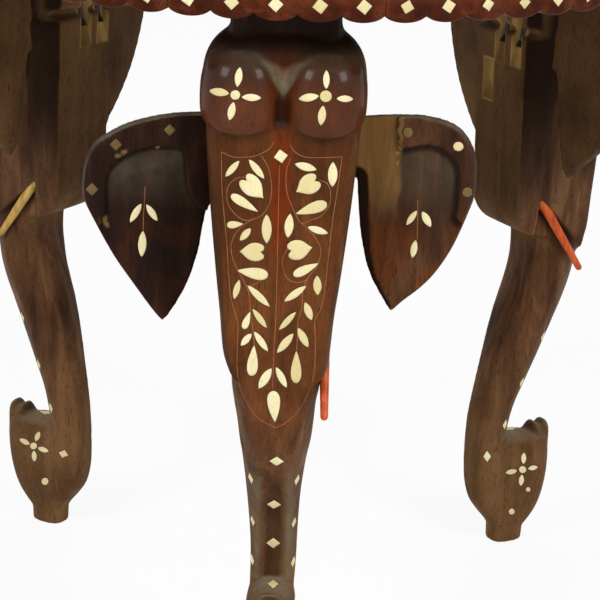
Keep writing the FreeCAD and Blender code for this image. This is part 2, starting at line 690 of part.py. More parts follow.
def forehead_prisms():
    prisms = []
    for outline in flower(FLOWER_BUTTON, FLOWER_PETAL_LENGTH, FLOWER_PETAL_WIDTH, FLOWER_GAP):
        middle = outline.CenterOfMass
        surface = dome_surface(DOME_WIDTH / 2 + middle.x, DOME_MIDDLE + FLOWER_RISE + middle.y)
        prism = on_front(outline, DOME_WIDTH / 2, DOME_MIDDLE + FLOWER_RISE, 0, surface, DOME_DEPTH)
        prisms += [prism, mirrored(prism)]
    return prisms


def trunk_prisms():
    stone = lozenge(TRUNK_DIAMOND_WIDTH, TRUNK_DIAMOND_LENGTH)
    prisms = []
    for share in TRUNK_DIAMOND_SHARES:
        front, depth, width = trunk_at(share)
        prisms.append(on_front(stone, 0, STEP - share * TRUNK_LENGTH, 0, front, INLAY_DEPTH))
    for share in TRUNK_SIDE_SHARES:
        front, depth, width = trunk_at(share)
        height = STEP - share * TRUNK_LENGTH
        prism = on_side(stone, front - depth / 2, height, width / 2, INLAY_DEPTH)
        prisms += [prism, mirrored(prism)]
    return prisms


def foot_prisms():
    def prism(outline, place):
        along, share = place
        return on_side(outline, foot_heel() + along * FOOT_LENGTH, share * FOOT_HEIGHT,
                       FOOT_WIDTH / 2, INLAY_DEPTH)

    prisms = [prism(outline, FOOT_FLOWER_PLACE)
              for outline in flower(FOOT_BUTTON, FOOT_PETAL_LENGTH, FOOT_PETAL_WIDTH, FOOT_GAP)]
    prisms.append(prism(lozenge(TRUNK_DIAMOND_LENGTH, TRUNK_DIAMOND_WIDTH), FOOT_DIAMOND_PLACE))
    prisms.append(prism(disc(FOOT_BUTTON), FOOT_DOT_PLACE))
    return prisms + [mirrored(p) for p in prisms]


# Whole pieces, each saved in its own file
def build_apron():
    segment, stones = make_segment()
    diamonds = []
    for i in range(APRON_SEGMENTS):
        angle = APRON_TURN - 90.0 + i * SEGMENT_ANGLE
        save("apron_segment_%02d" % (i + 1), turn(segment, angle))
        diamonds += [turn(stone, angle) for stone in stones]
    save("apron_diamonds", diamonds)


def build_legs():
    """Save the legs and what they carry, and return the screws and their holes."""
    carved = make_head().fuse([make_trunk(), make_foot()])
    inlay = {}
    groups = (("face_inlay", face_prisms()), ("forehead_flowers", forehead_prisms()),
              ("trunk_diamonds", trunk_prisms()), ("foot_inlay", foot_prisms()))
    for group, prisms in groups:
        carved, inlay[group] = let_in(carved, prisms)
    ear, ear_inlay = let_in(ear_board(), ear_prisms())
    hole = tusk_hole()
    places = screw_places()
    pockets = [screw_pocket(across) for across in places]
    screw_holes = [make_screw(across, SCREW_CLEARANCE) for across in places]
    drilled = carved
    for cutters in ([hole, mirrored(hole)], pockets, screw_holes):
        drilled = drilled.cut(Part.makeCompound(cutters))
    screws = []
    holes = []
    for name, leg_turn in LEG_TURNS.items():
        angle = leg_turn - 90.0
        ear_drop = EAR_DROP_FRONT if name == "front" else EAR_DROP_REAR
        leg = drilled.cut(spare_pocket()) if name == SPARE_POCKET_LEG else drilled
        tusk = make_tusk(TUSK_LENGTHS[name])
        for hand, side in SIDES.items():
            label = name + "_" + hand
            scribed = on_head(ear, ear_drop, side).cut(carved)
            board = max(scribed.Solids, key=lambda solid: solid.Volume)
            leg = leg.cut(on_head(ear_tongue(TONGUE_CLEARANCE), ear_drop, side))
            save("ear_" + label, turn(board.fuse(on_head(ear_tongue(0.0), ear_drop, side)), angle))
            save("ear_inlay_" + label, [turn(on_head(piece, ear_drop, side), angle) for piece in ear_inlay])
            if (name, hand) != MISSING_TUSK:
                drawn = tusk_direction() * (LOOSE_TUSK_OUT if (name, hand) == LOOSE_TUSK else 0.0)
                peg = tusk.translated(drawn)
                save("tusk_" + label, turn(peg if side > 0 else mirrored(peg), angle))
        save("leg_" + name, turn(leg, angle))
        for group, pieces in inlay.items():
            save(group + "_" + name, [turn(piece, angle) for piece in pieces])
        screws += [turn(make_screw(across, 0.0), angle) for across in places]
        holes += [turn(screw_hole, angle) for screw_hole in screw_holes]
    save("pocket_screws", screws)
    return holes


def build_top(holes):
    board = make_top().cut(Part.makeCompound(holes))
    groups = (("top_border_diamonds", top_border()), ("top_wreath", top_wreath()),
              ("top_rosette", top_rosette()))
    for group, prisms in groups:
        board, pieces = let_in(board, prisms)
        save(group, pieces)
    save("top_board", board)


def main():
    os.makedirs("parts", exist_ok=True)
    build_apron()
    build_top(build_legs())


main()
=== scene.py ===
import bmesh
import bpy
import math
import random
from mathutils import Matrix, Vector, noise
from mathutils.bvhtree import BVHTree
from mathutils.kdtree import KDTree


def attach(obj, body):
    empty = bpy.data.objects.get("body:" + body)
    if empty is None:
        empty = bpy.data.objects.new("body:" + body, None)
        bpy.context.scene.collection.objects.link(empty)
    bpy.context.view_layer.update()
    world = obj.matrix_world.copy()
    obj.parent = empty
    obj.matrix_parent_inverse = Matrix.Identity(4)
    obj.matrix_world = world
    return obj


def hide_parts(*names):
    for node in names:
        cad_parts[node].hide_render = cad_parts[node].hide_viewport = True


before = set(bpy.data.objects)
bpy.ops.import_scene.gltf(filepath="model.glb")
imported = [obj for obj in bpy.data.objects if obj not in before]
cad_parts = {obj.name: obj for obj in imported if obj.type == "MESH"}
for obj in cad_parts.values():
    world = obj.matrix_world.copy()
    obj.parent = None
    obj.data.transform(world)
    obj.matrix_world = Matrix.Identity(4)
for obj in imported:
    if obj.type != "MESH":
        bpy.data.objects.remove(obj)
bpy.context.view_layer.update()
scene = bpy.context.scene
mm = 0.001
print("frame loaded:", len(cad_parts), "nodes")

# the front leg is drawn where it stands: x across, y towards the back, z up
# the rear legs are the same leg turned about the middle of the top, the right one with a spare pocket
legTurns = {"front": 0.0, "rear_right": 120.0, "rear_left": -120.0}

# camera, at the photograph's own place
photoCamera = {
    "place": (0.0239, -1.4267, 0.6282),
    "focal": 2420.0,  # in pixels
    "frame": 600.0,
    "sensor": 36.0,
    "clip": (0.05, 50.0),
    "yaw": 0.528,
    "pitch": 17.142,
    "roll": 2.17,
}


def cameraAxes():
    yaw, pitch, roll = (math.radians(photoCamera[key]) for key in ("yaw", "pitch", "roll"))
    side = Vector((math.cos(yaw), math.sin(yaw), 0))
    level = Vector((-math.sin(yaw), math.cos(yaw), 0))
    plumb = Vector((0, 0, 1))
    ahead = level * math.cos(pitch) - plumb * math.sin(pitch)
    above = plumb * math.cos(pitch) + level * math.sin(pitch)
    right = side * math.cos(roll) + above * math.sin(roll)
    top = above * math.cos(roll) - side * math.sin(roll)
    return right, top, ahead


def makeCamera():
    right, top, ahead = cameraAxes()
    data = bpy.data.cameras.new("photoCamera")
    data.sensor_width = photoCamera["sensor"]
    data.lens = photoCamera["sensor"] * photoCamera["focal"] / photoCamera["frame"]
    data.clip_start, data.clip_end = photoCamera["clip"]
    camera = bpy.data.objects.new("photoCamera", data)
    turned = Matrix((right, top, -ahead)).transposed().to_4x4()
    camera.matrix_world = Matrix.Translation(photoCamera["place"]) @ turned
    scene.collection.objects.link(camera)
    scene.camera = camera


def pixelRay(pixel):
    right, top, ahead = cameraAxes()
    half = photoCamera["frame"] / 2
    way = ahead * photoCamera["focal"] + right * (pixel[0] - half) - top * (pixel[1] - half)
    return Vector(photoCamera["place"]), way.normalized()


makeCamera()
print("camera set")


# small helpers for curves and meshes
def catmull(points, steps):
    points = [Vector(p) for p in points]
    ends = [2 * points[0] - points[1]] + points + [2 * points[-1] - points[-2]]
    line = []
    for a, b, c, d in zip(ends, ends[1:], ends[2:], ends[3:]):
        for i in range(steps):
            t = i / steps
            line.append(0.5 * (2 * b + (c - a) * t + (2 * a - 5 * b + 4 * c - d) * t * t
                               + (3 * b - a - 3 * c + d) * t ** 3))
    return line + [points[-1]]


def smoothRows(rows, steps):
    # rows of sizes, eased from one to the next
    wide = len(rows[0])
    columns = [catmull([(row[0], row[i]) for row in rows], steps) for i in range(1, wide)]
    return [(columns[0][k][0],) + tuple(column[k][1] for column in columns) for k in range(len(columns[0]))]


def loft(bm, rings):
    loops = [[bm.verts.new(p) for p in ring] for ring in rings]
    count = len(loops[0])
    for low, high in zip(loops, loops[1:]):
        for i in range(count):
            j = (i + 1) % count
            bm.faces.new((low[i], low[j], high[j], high[i]))
    bm.faces.new(loops[0][::-1])
    bm.faces.new(loops[-1])


def prism(bm, outline, push):
    loft(bm, [[Vector(p) for p in outline], [Vector(p) + Vector(push) for p in outline]])


def bulge(bm, centre, radii, power, floor=0.0, sag=0.0, turns=64):
    def bend(value):
        return math.copysign(abs(value) ** (2 / power), value)

    rings = []
    for i in range(1, turns // 2):
        lift = math.pi * (i / (turns // 2) - 0.5)
        ring = []
        for k in range(turns):
            way = 2 * math.pi * k / turns
            place = Vector(centre) + Vector((radii[0] * bend(math.cos(lift)) * bend(math.cos(way)),
                                             radii[1] * bend(math.cos(lift)) * bend(math.sin(way)),
                                             radii[2] * bend(math.sin(lift))))
            aside = (place.x - centre[0]) / radii[0]
            place.z = max(place.z, floor + sag * aside ** 2)  # the cut sags, lowest in the middle
            ring.append(place)
        rings.append(ring)
    loft(bm, rings)


def makePiece(name, bm):
    bmesh.ops.recalc_face_normals(bm, faces=bm.faces)
    mesh = bpy.data.meshes.new(name)
    bm.to_mesh(mesh)
    bm.free()
    mesh.shade_smooth()
    piece = bpy.data.objects.new(name, mesh)
    scene.collection.objects.link(piece)
    return piece


def settledScene():
    return bpy.context.evaluated_depsgraph_get()


def applied(piece):
    shape = bpy.data.meshes.new_from_object(piece.evaluated_get(settledScene()))
    piece.modifiers.clear()
    piece.data = shape
    return piece


def subtract(piece, waste):
    chisel = piece.modifiers.new("chisel", "BOOLEAN")
    chisel.operation = "DIFFERENCE"
    chisel.solver = "EXACT"
    chisel.object = waste
    applied(piece)
    bpy.data.objects.remove(waste)


def cutAway(piece, bm):
    subtract(piece, makePiece("waste", bm))


def sand(piece, passes, group="", pressure=0.5):
    sanding = piece.modifiers.new("sanding", "SMOOTH")
    sanding.factor = pressure
    sanding.iterations = passes
    sanding.vertex_group = group
    applied(piece)


def carve(piece, grit, passes):
    # one block out of all the shells, its arrises rounded by sanding
    block = piece.modifiers.new("block", "REMESH")
    block.mode = "VOXEL"
    block.voxel_size = grit
    sand(piece, passes)
    piece.data.shade_smooth()
    return piece


def treeOf(piece):
    corners = [vertex.co.copy() for vertex in piece.data.vertices]
    return BVHTree.FromPolygons(corners, [tuple(face.vertices) for face in piece.data.polygons])


def ease(start, full, value):
    share = max(0.0, min(1.0, (value - start) / (full - start)))
    return share * share * (3 - 2 * share)


def zone(rows, reading):
    # how strong a mark is at its most, times an eased share for each thing it depends on
    share = rows[0]
    for key, start, full in rows[1:]:
        share *= ease(start, full, reading[key])
    return share


def keepMarks(mesh, marks):
    for key, values in marks.items():
        mesh.attributes.new(key, "FLOAT", "POINT").data.foreach_set("value", values)


def dress(piece, material, slot, *stoodFor):
    piece.data.materials.clear()
    piece.data.materials.append(material)
    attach(piece, "root")
    if stoodFor:
        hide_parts(*stoodFor)
    return piece


def turnedCopy(piece, name, angle, lift=0.0):
    copy = bpy.data.objects.new(name, piece.data)
    copy.matrix_world = Matrix.Rotation(math.radians(angle), 4, "Z") @ Matrix.Translation((0, 0, lift))
    scene.collection.objects.link(copy)
    return copy


# finishes
def srgb(red, green, blue):
    def linear(value):
        value /= 255
        return value / 12.92 if value <= 0.04045 else ((value + 0.055) / 1.055) ** 2.4

    return (linear(red), linear(green), linear(blue), 1.0)


class Finish:
    def __init__(self, name):
        self.material = bpy.data.materials.new(name)
        self.material.use_nodes = True
        self.tree = self.material.node_tree
        self.shader = self.tree.nodes["Principled BSDF"]

    def node(self, kind, **settings):
        made = self.tree.nodes.new(kind)
        for key, value in settings.items():
            setattr(made, key, value)
        return made

    def put(self, socket, value):
        if isinstance(value, bpy.types.NodeSocket):
            self.tree.links.new(value, socket)
        else:
            socket.default_value = value

    def mathNode(self, operation, first, second=0.5, clamp=False):
        made = self.node("ShaderNodeMath", operation=operation, use_clamp=clamp)
        self.put(made.inputs[0], first)
        self.put(made.inputs[1], second)
        return made.outputs[0]

    def times(self, first, second):
        return self.mathNode("MULTIPLY", first, second)

    def plus(self, first, second, clamp=False):
        return self.mathNode("ADD", first, second, clamp)

    def most(self, first, second):
        return self.mathNode("MAXIMUM", first, second)

    def mix(self, share, first, second, blend="MIX"):
        made = self.node("ShaderNodeMix", data_type="RGBA", blend_type=blend)
        self.put(made.inputs[0], share)
        self.put(made.inputs[6], first)  # its two colours
        self.put(made.inputs[7], second)
        return made.outputs[2]

    def ramp(self, value, *stops):
        made = self.node("ShaderNodeValToRGB")
        stones = made.color_ramp.elements
        while len(stones) < len(stops):
            stones.new(0.5)
        for stone, (place, colour) in zip(stones, stops):
            stone.position = place
            stone.color = colour if isinstance(colour, tuple) else (colour, colour, colour, 1)
        self.put(made.inputs[0], value)
        return made.outputs[0]

    def grainPlace(self, stretch, shift=(0, 0, 0)):
        where = self.node("ShaderNodeTexCoord")
        mapped = self.node("ShaderNodeMapping")
        self.put(mapped.inputs["Vector"], where.outputs["Object"])
        mapped.inputs["Scale"].default_value = stretch
        mapped.inputs["Location"].default_value = shift
        return mapped.outputs[0]

    def noise(self, stretch, shift=(0, 0, 0), detail=4.0, rough=0.55, twist=0.0):
        made = self.node("ShaderNodeTexNoise")
        self.put(made.inputs["Vector"], self.grainPlace(stretch, shift))
        made.inputs["Scale"].default_value = 1.0
        made.inputs["Detail"].default_value = detail
        made.inputs["Roughness"].default_value = rough
        made.inputs["Distortion"].default_value = twist
        return made.outputs[0]

    def attribute(self, name):
        made = self.node("ShaderNodeAttribute", attribute_name=name)
        return made.outputs["Fac"]

    def pointed(self, *stops):
        shape = self.node("ShaderNodeNewGeometry")
        return self.ramp(shape.outputs["Pointiness"], *stops)

    def upward(self):
        shape = self.node("ShaderNodeNewGeometry")
        parts = self.node("ShaderNodeSeparateXYZ")
        self.put(parts.inputs[0], shape.outputs["Normal"])
        return parts.outputs[2]

    def bump(self, height, strength, depth):
        made = self.node("ShaderNodeBump")
        made.inputs["Strength"].default_value = strength
        made.inputs["Distance"].default_value = depth
        self.put(made.inputs["Height"], height)
        self.put(self.shader.inputs["Normal"], made.outputs[0])

    def set(self, name, value):
        self.put(self.shader.inputs[name], value)


woodLooks = {
    "topWood": {"deep": srgb(42, 17, 10), "mid": srgb(80, 36, 20), "pale": srgb(110, 56, 33),
                "stretch": (14, 90, 90), "polish": 0.3, "dustAndSheen": 0.0, "wear": 0.25},
    "apronWood": {"deep": srgb(38, 13, 5), "mid": srgb(72, 28, 10), "pale": srgb(114, 58, 30),
                  "stretch": (60, 60, 60), "polish": 0.42, "dustAndSheen": 0.1, "wear": 0.7},
    "legWood": {"deep": srgb(48, 26, 14), "mid": srgb(88, 57, 34), "pale": srgb(122, 88, 58),
                "stretch": (90, 90, 12), "polish": 0.42, "dustAndSheen": 0.75, "wear": 0.45},
    "earWood": {"deep": srgb(22, 11, 7), "mid": srgb(40, 22, 14), "pale": srgb(66, 38, 26),
                "stretch": (90, 90, 14), "polish": 0.45, "dustAndSheen": 0.75, "wear": 0.35},
    "fadedEarWood": {"deep": srgb(40, 22, 13), "mid": srgb(74, 46, 28), "pale": srgb(106, 72, 45),
                     "stretch": (90, 90, 14), "polish": 0.5, "dustAndSheen": 0.75, "wear": 0.4},
}
woodExtras = {
    # the grey of dust, laid on upward faces partly as painted sheen where light falls on their tops
    "dustAndSheenGrey": srgb(124, 116, 96),
    "faceWarm": srgb(99, 54, 19),
    "faceAmber": srgb(120, 69, 33),
    "faceStripe": srgb(112, 40, 3),
    "domeRed": srgb(88, 38, 9),
    "rawCut": srgb(172, 138, 82),
    # painted shade in hollows, laid where pointiness is low
    "creviceShade": srgb(18, 9, 6),
    # painted shade under the top, in creases and notches, and along the ears' edges and bands
    "paintedShade": srgb(22, 10, 5),
    "backGrey": srgb(110, 81, 50),
    "specular": 0.07,
    "gloss": 0.2,
    "glossRough": 0.16,
}
# noise in the wood: how much finer than the look's own stretch, or a stretch of its own
woodNoise = {
    "grain": {"finer": 1.0, "detail": 6.0, "rough": 0.6, "twist": 0.9},
    "figure": {"finer": 0.35, "shift": (3.1, 1.7, 0.4), "detail": 3.0, "rough": 0.5, "twist": 1.6},
    "pores": {"finer": 14.0, "detail": 2.0, "rough": 0.5},
    "patches": {"stretch": (16, 16, 16), "shift": (0.7, 0.2, 0.9), "detail": 3.0, "rough": 0.5},
    "dustAndSheen": {"stretch": (55, 55, 55), "detail": 5.0, "rough": 0.7},
}
# ramps, each a pair of where it is read and what it gives there
woodRamps = {
    "warmGrain": ((0.38, 0.0), (0.62, 1.0)),
    "amberGrain": ((0.35, 0.2), (0.6, 0.65)),
    "stripeGrain": ((0.35, 0.35), (0.6, 1.0)),
    "fadedPatches": ((0.3, 0.45), (0.7, 1.0)),
    "spots": ((0.36, 0.72), (0.62, 1.12)),
    "pores": ((0.32, 0.6), (0.44, 0.0)),
    "wornArris": ((0.52, 0.0), (0.6, 1.0)),
    # painted shade in hollows, read from pointiness
    "hollowShade": ((0.42, 1.0), (0.49, 0.0)),
    "dustAndSheen": ((0.3, 0.25), (0.65, 1.0)),
    # patches in the painted shade
    "paintedShadePatches": ((0.3, 1.0), (0.75, 0.85)),
    "cutGrain": ((0.3, 0.6), (0.6, 1.1)),
}
woodTones = (0.34, 0.5, 0.68)  # where the grain is deep, mid and pale
# upward faces turn grey: dust, and painted sheen where light falls on their tops
dustAndSheenLies = (0.45, 0.92)        # from this slope up to this one
sheenSpan = (0.3, 0.65)
# hollow: how strong the painted shade in hollows is
woodShares = {"grain": 0.6, "figure": 0.4, "warm": 0.85, "warmEven": 0.45, "dome": 0.75, "hollow": 0.75,
              "ring": 0.7, "dull": 0.35, "rougher": 0.16, "poreRelief": 0.5}
woodRelief = (0.22, 0.0006)


def woodGrain(finish, kind, stretch):
    settings = dict(woodNoise[kind])
    finer = settings.pop("finer", 1.0)
    own = settings.pop("stretch", tuple(size * finer for size in stretch))
    return finish.noise(own, **settings)


def wornZones(finish, colour, deep, blend, grain, patches):
    # the warm face with its stripe, the red domes and the faded backs
    def marked(key, ramp):
        return finish.times(finish.attribute(key), ramp)

    faceWarm = woodExtras["faceWarm"]
    warmGrain = finish.mix(finish.ramp(blend, *woodRamps["warmGrain"]), deep, faceWarm)
    warm = finish.mix(woodShares["warmEven"], warmGrain, faceWarm)
    colour = finish.mix(marked("warm", woodShares["warm"]), colour, warm)
    amber = marked("amber", finish.ramp(grain, *woodRamps["amberGrain"]))
    colour = finish.mix(amber, colour, woodExtras["faceAmber"])
    stripe = marked("stripe", finish.ramp(grain, *woodRamps["stripeGrain"]))
    colour = finish.mix(stripe, colour, woodExtras["faceStripe"])
    red = finish.mix(woodShares["dome"], colour, woodExtras["domeRed"])
    colour = finish.mix(finish.attribute("dome"), colour, red)
    faded = marked("faded", finish.ramp(patches, *woodRamps["fadedPatches"]))
    return finish.mix(faded, colour, woodExtras["backGrey"])


def dirtAndShadeZones(finish, colour, dustAndSheen, grain, patches):
    # dust and painted shade over the finish, and the bare wood of fresh cuts
    colour = finish.mix(finish.times(finish.attribute("dusty"), dustAndSheen), colour, woodExtras["dustAndSheenGrey"])
    # painted shade, broken up in patches
    shadeShare = finish.times(finish.attribute("paintedShade"), finish.ramp(patches, *woodRamps["paintedShadePatches"]))
    colour = finish.mix(shadeShare, colour, woodExtras["paintedShade"])
    cut = finish.mix(1.0, woodExtras["rawCut"], finish.ramp(grain, *woodRamps["cutGrain"]), "MULTIPLY")
    return finish.mix(finish.attribute("raw"), colour, cut)


def scribedRings(finish, colour, rings):
    where = finish.node("ShaderNodeVectorMath", operation="LENGTH")
    finish.put(where.inputs[0], finish.grainPlace((1, 1, 0)))
    for radius in rings["radii"]:
        off = finish.mathNode("ABSOLUTE", finish.mathNode("SUBTRACT", where.outputs["Value"], radius * mm))
        ring = finish.ramp(off, (0.0, woodShares["ring"]), (rings["width"] * mm, 0.0))
        colour = finish.mix(ring, colour, scribedLine["colour"])
    return colour


def woodFinish(name, zones=False, rings=None):
    look = woodLooks[name]
    finish = Finish(name)
    kinds = ("grain", "figure", "pores", "patches", "dustAndSheen")
    grain, figure, pores, patches, dustAndSheen = (woodGrain(finish, kind, look["stretch"]) for kind in kinds)
    grainShare, figureShare = woodShares["grain"], woodShares["figure"]
    blend = finish.plus(finish.times(grain, grainShare), finish.times(figure, figureShare))
    colour = finish.ramp(blend, *zip(woodTones, (look["deep"], look["mid"], look["pale"])))
    if zones:
        colour = wornZones(finish, colour, look["deep"], blend, grain, patches)
    colour = finish.mix(1.0, colour, finish.ramp(patches, *woodRamps["spots"]), "MULTIPLY")
    colour = finish.mix(finish.ramp(pores, *woodRamps["pores"]), colour, look["deep"])
    worn = finish.times(finish.pointed(*woodRamps["wornArris"]), look["wear"])
    colour = finish.mix(worn, colour, look["pale"])
    # painted shade in hollows, where pointiness is low
    sunk = finish.times(finish.pointed(*woodRamps["hollowShade"]), woodShares["hollow"])
    colour = finish.mix(sunk, colour, woodExtras["creviceShade"])
    dustAndSheen = finish.ramp(dustAndSheen, *woodRamps["dustAndSheen"])
    # dust on upward faces, with painted sheen where light falls on their tops
    dustAndSheenOnTop = finish.ramp(finish.upward(), *zip(dustAndSheenLies, (0.0, look["dustAndSheen"])))
    colour = finish.mix(finish.times(dustAndSheenOnTop, dustAndSheen), colour, woodExtras["dustAndSheenGrey"])
    sheen = finish.ramp(blend, *zip(sheenSpan, (look["polish"] + woodShares["rougher"], look["polish"])))
    if zones:
        colour = dirtAndShadeZones(finish, colour, dustAndSheen, grain, patches)
        dull = finish.most(finish.attribute("dusty"), finish.attribute("faded"))
        dull = finish.most(dull, finish.attribute("raw"))
        sheen = finish.plus(sheen, finish.times(dull, woodShares["dull"]), True)
        finish.set("Coat Weight", finish.times(finish.attribute("gloss"), woodExtras["gloss"]))
    if rings:
        colour = scribedRings(finish, colour, rings)
    finish.set("Base Color", colour)
    finish.set("Roughness", sheen)
    finish.set("Specular IOR Level", woodExtras["specular"])
    finish.set("Coat Roughness", woodExtras["glossRough"])
    relief = finish.plus(finish.times(pores, woodShares["poreRelief"]), blend)
    finish.bump(relief, *woodRelief)
    return finish.material


scribedLine = {"colour": srgb(158, 100, 56), "half": 0.22 * mm, "sunk": 0.55, "proud": 0.02 * mm, "steps": 5}
boneLooks = {
    "bone": {"pale": srgb(232, 220, 174), "mid": srgb(212, 194, 136), "deep": srgb(170, 142, 88)},
    "dullBone": {"pale": srgb(124, 102, 58), "mid": srgb(92, 70, 36), "deep": srgb(62, 42, 22)},
}
tuskLooks = {
    "tuskOrange": {"deep": srgb(128, 44, 12), "mid": srgb(192, 76, 21), "pale": srgb(214, 108, 46)},
    "tuskYellow": {"deep": srgb(140, 104, 44), "mid": srgb(192, 156, 78), "pale": srgb(218, 190, 118)},
}
plainLooks = {
    "scribedLine": {"deep": srgb(132, 76, 38), "pale": scribedLine["colour"], "rough": 0.7, "metal": 0.0},
    "mastic": {"deep": srgb(30, 17, 12), "pale": srgb(52, 30, 20), "rough": 0.6, "metal": 0.0},
    "screwSteel": {"deep": srgb(52, 46, 40), "pale": srgb(92, 86, 78), "rough": 0.42, "metal": 0.9},
}
boneGrain = {
    "streaks": {"stretch": (260, 260, 70), "detail": 4.0, "rough": 0.6, "twist": 0.5},
    "specks": {"stretch": (900, 900, 900), "detail": 2.0},
    "toPale": 0.75,               # this share of the pieces is on its way from mid to pale
    "streaked": ((0.5, 0.0), (0.74, 0.55)),
    "speckled": ((0.62, 0.0), (0.72, 0.5)),
    "rough": ((0.3, 0.34), (0.7, 0.5)),
    "specular": 0.2,
    "relief": (0.12, 0.0004),
}
tuskGrain = {
    "streaks": {"stretch": (160, 160, 40), "detail": 4.0, "rough": 0.6, "twist": 0.4},
    "tones": (0.3, 0.48, 0.72),
    "rough": ((0.3, 0.5), (0.7, 0.34)),
    "specular": 0.25,
    "relief": (0.2, 0.0005),
}
plainGrain = {
    "cloud": {"stretch": (220, 220, 220), "detail": 4.0, "rough": 0.6},
    "tones": (0.35, 0.65),
    "rough": (0.3, 0.7),
    "rougher": 0.12,
    "relief": (0.15, 0.0003),
}


def boneFinish(name):
    look, grain = boneLooks[name], boneGrain
    finish = Finish(name)
    shape = finish.node("ShaderNodeNewGeometry")
    island = shape.outputs["Random Per Island"]
    each = finish.ramp(island, (0.0, look["mid"]), (grain["toPale"], look["pale"]))
    streaks, specks = finish.noise(**grain["streaks"]), finish.noise(**grain["specks"])
    colour = finish.mix(finish.ramp(streaks, *grain["streaked"]), each, look["mid"])
    colour = finish.mix(finish.ramp(specks, *grain["speckled"]), colour, look["deep"])
    finish.set("Base Color", colour)
    finish.set("Roughness", finish.ramp(streaks, *grain["rough"]))
    finish.set("Specular IOR Level", grain["specular"])
    finish.bump(streaks, *grain["relief"])
    return finish.material


def tuskFinish(name):
    look, grain = tuskLooks[name], tuskGrain
    finish = Finish(name)
    streaks = finish.noise(**grain["streaks"])
    tones = zip(grain["tones"], (look["deep"], look["mid"], look["pale"]))
    finish.set("Base Color", finish.ramp(streaks, *tones))
    finish.set("Roughness", finish.ramp(streaks, *grain["rough"]))
    finish.set("Specular IOR Level", grain["specular"])
    finish.bump(streaks, *grain["relief"])
    return finish.material


def plainFinish(name):
    look, grain = plainLooks[name], plainGrain
    finish = Finish(name)
    cloud = finish.noise(**grain["cloud"])
    finish.set("Base Color", finish.ramp(cloud, *zip(grain["tones"], (look["deep"], look["pale"]))))
    rough = (look["rough"] + grain["rougher"], look["rough"])
    finish.set("Roughness", finish.ramp(cloud, *zip(grain["rough"], rough)))
    finish.set("Metallic", look["metal"])
    finish.bump(cloud, *grain["relief"])
    return finish.material


topRings = {"radii": (204.5, 183.5, 146.5, 52.0), "width": 0.6}
legWood = woodFinish("legWood", True)
earWood = woodFinish("earWood", True)
fadedEarWood = woodFinish("fadedEarWood", True)
apronWood = woodFinish("apronWood")
topWood = woodFinish("topWood", False, topRings)
bone = boneFinish("bone")
dullBone = boneFinish("dullBone")
tuskOrange = tuskFinish("tuskOrange")
tuskYellow = tuskFinish("tuskYellow")
scribed = plainFinish("scribedLine")
mastic = plainFinish("mastic")
screwSteel = plainFinish("screwSteel")
print("finishes made")

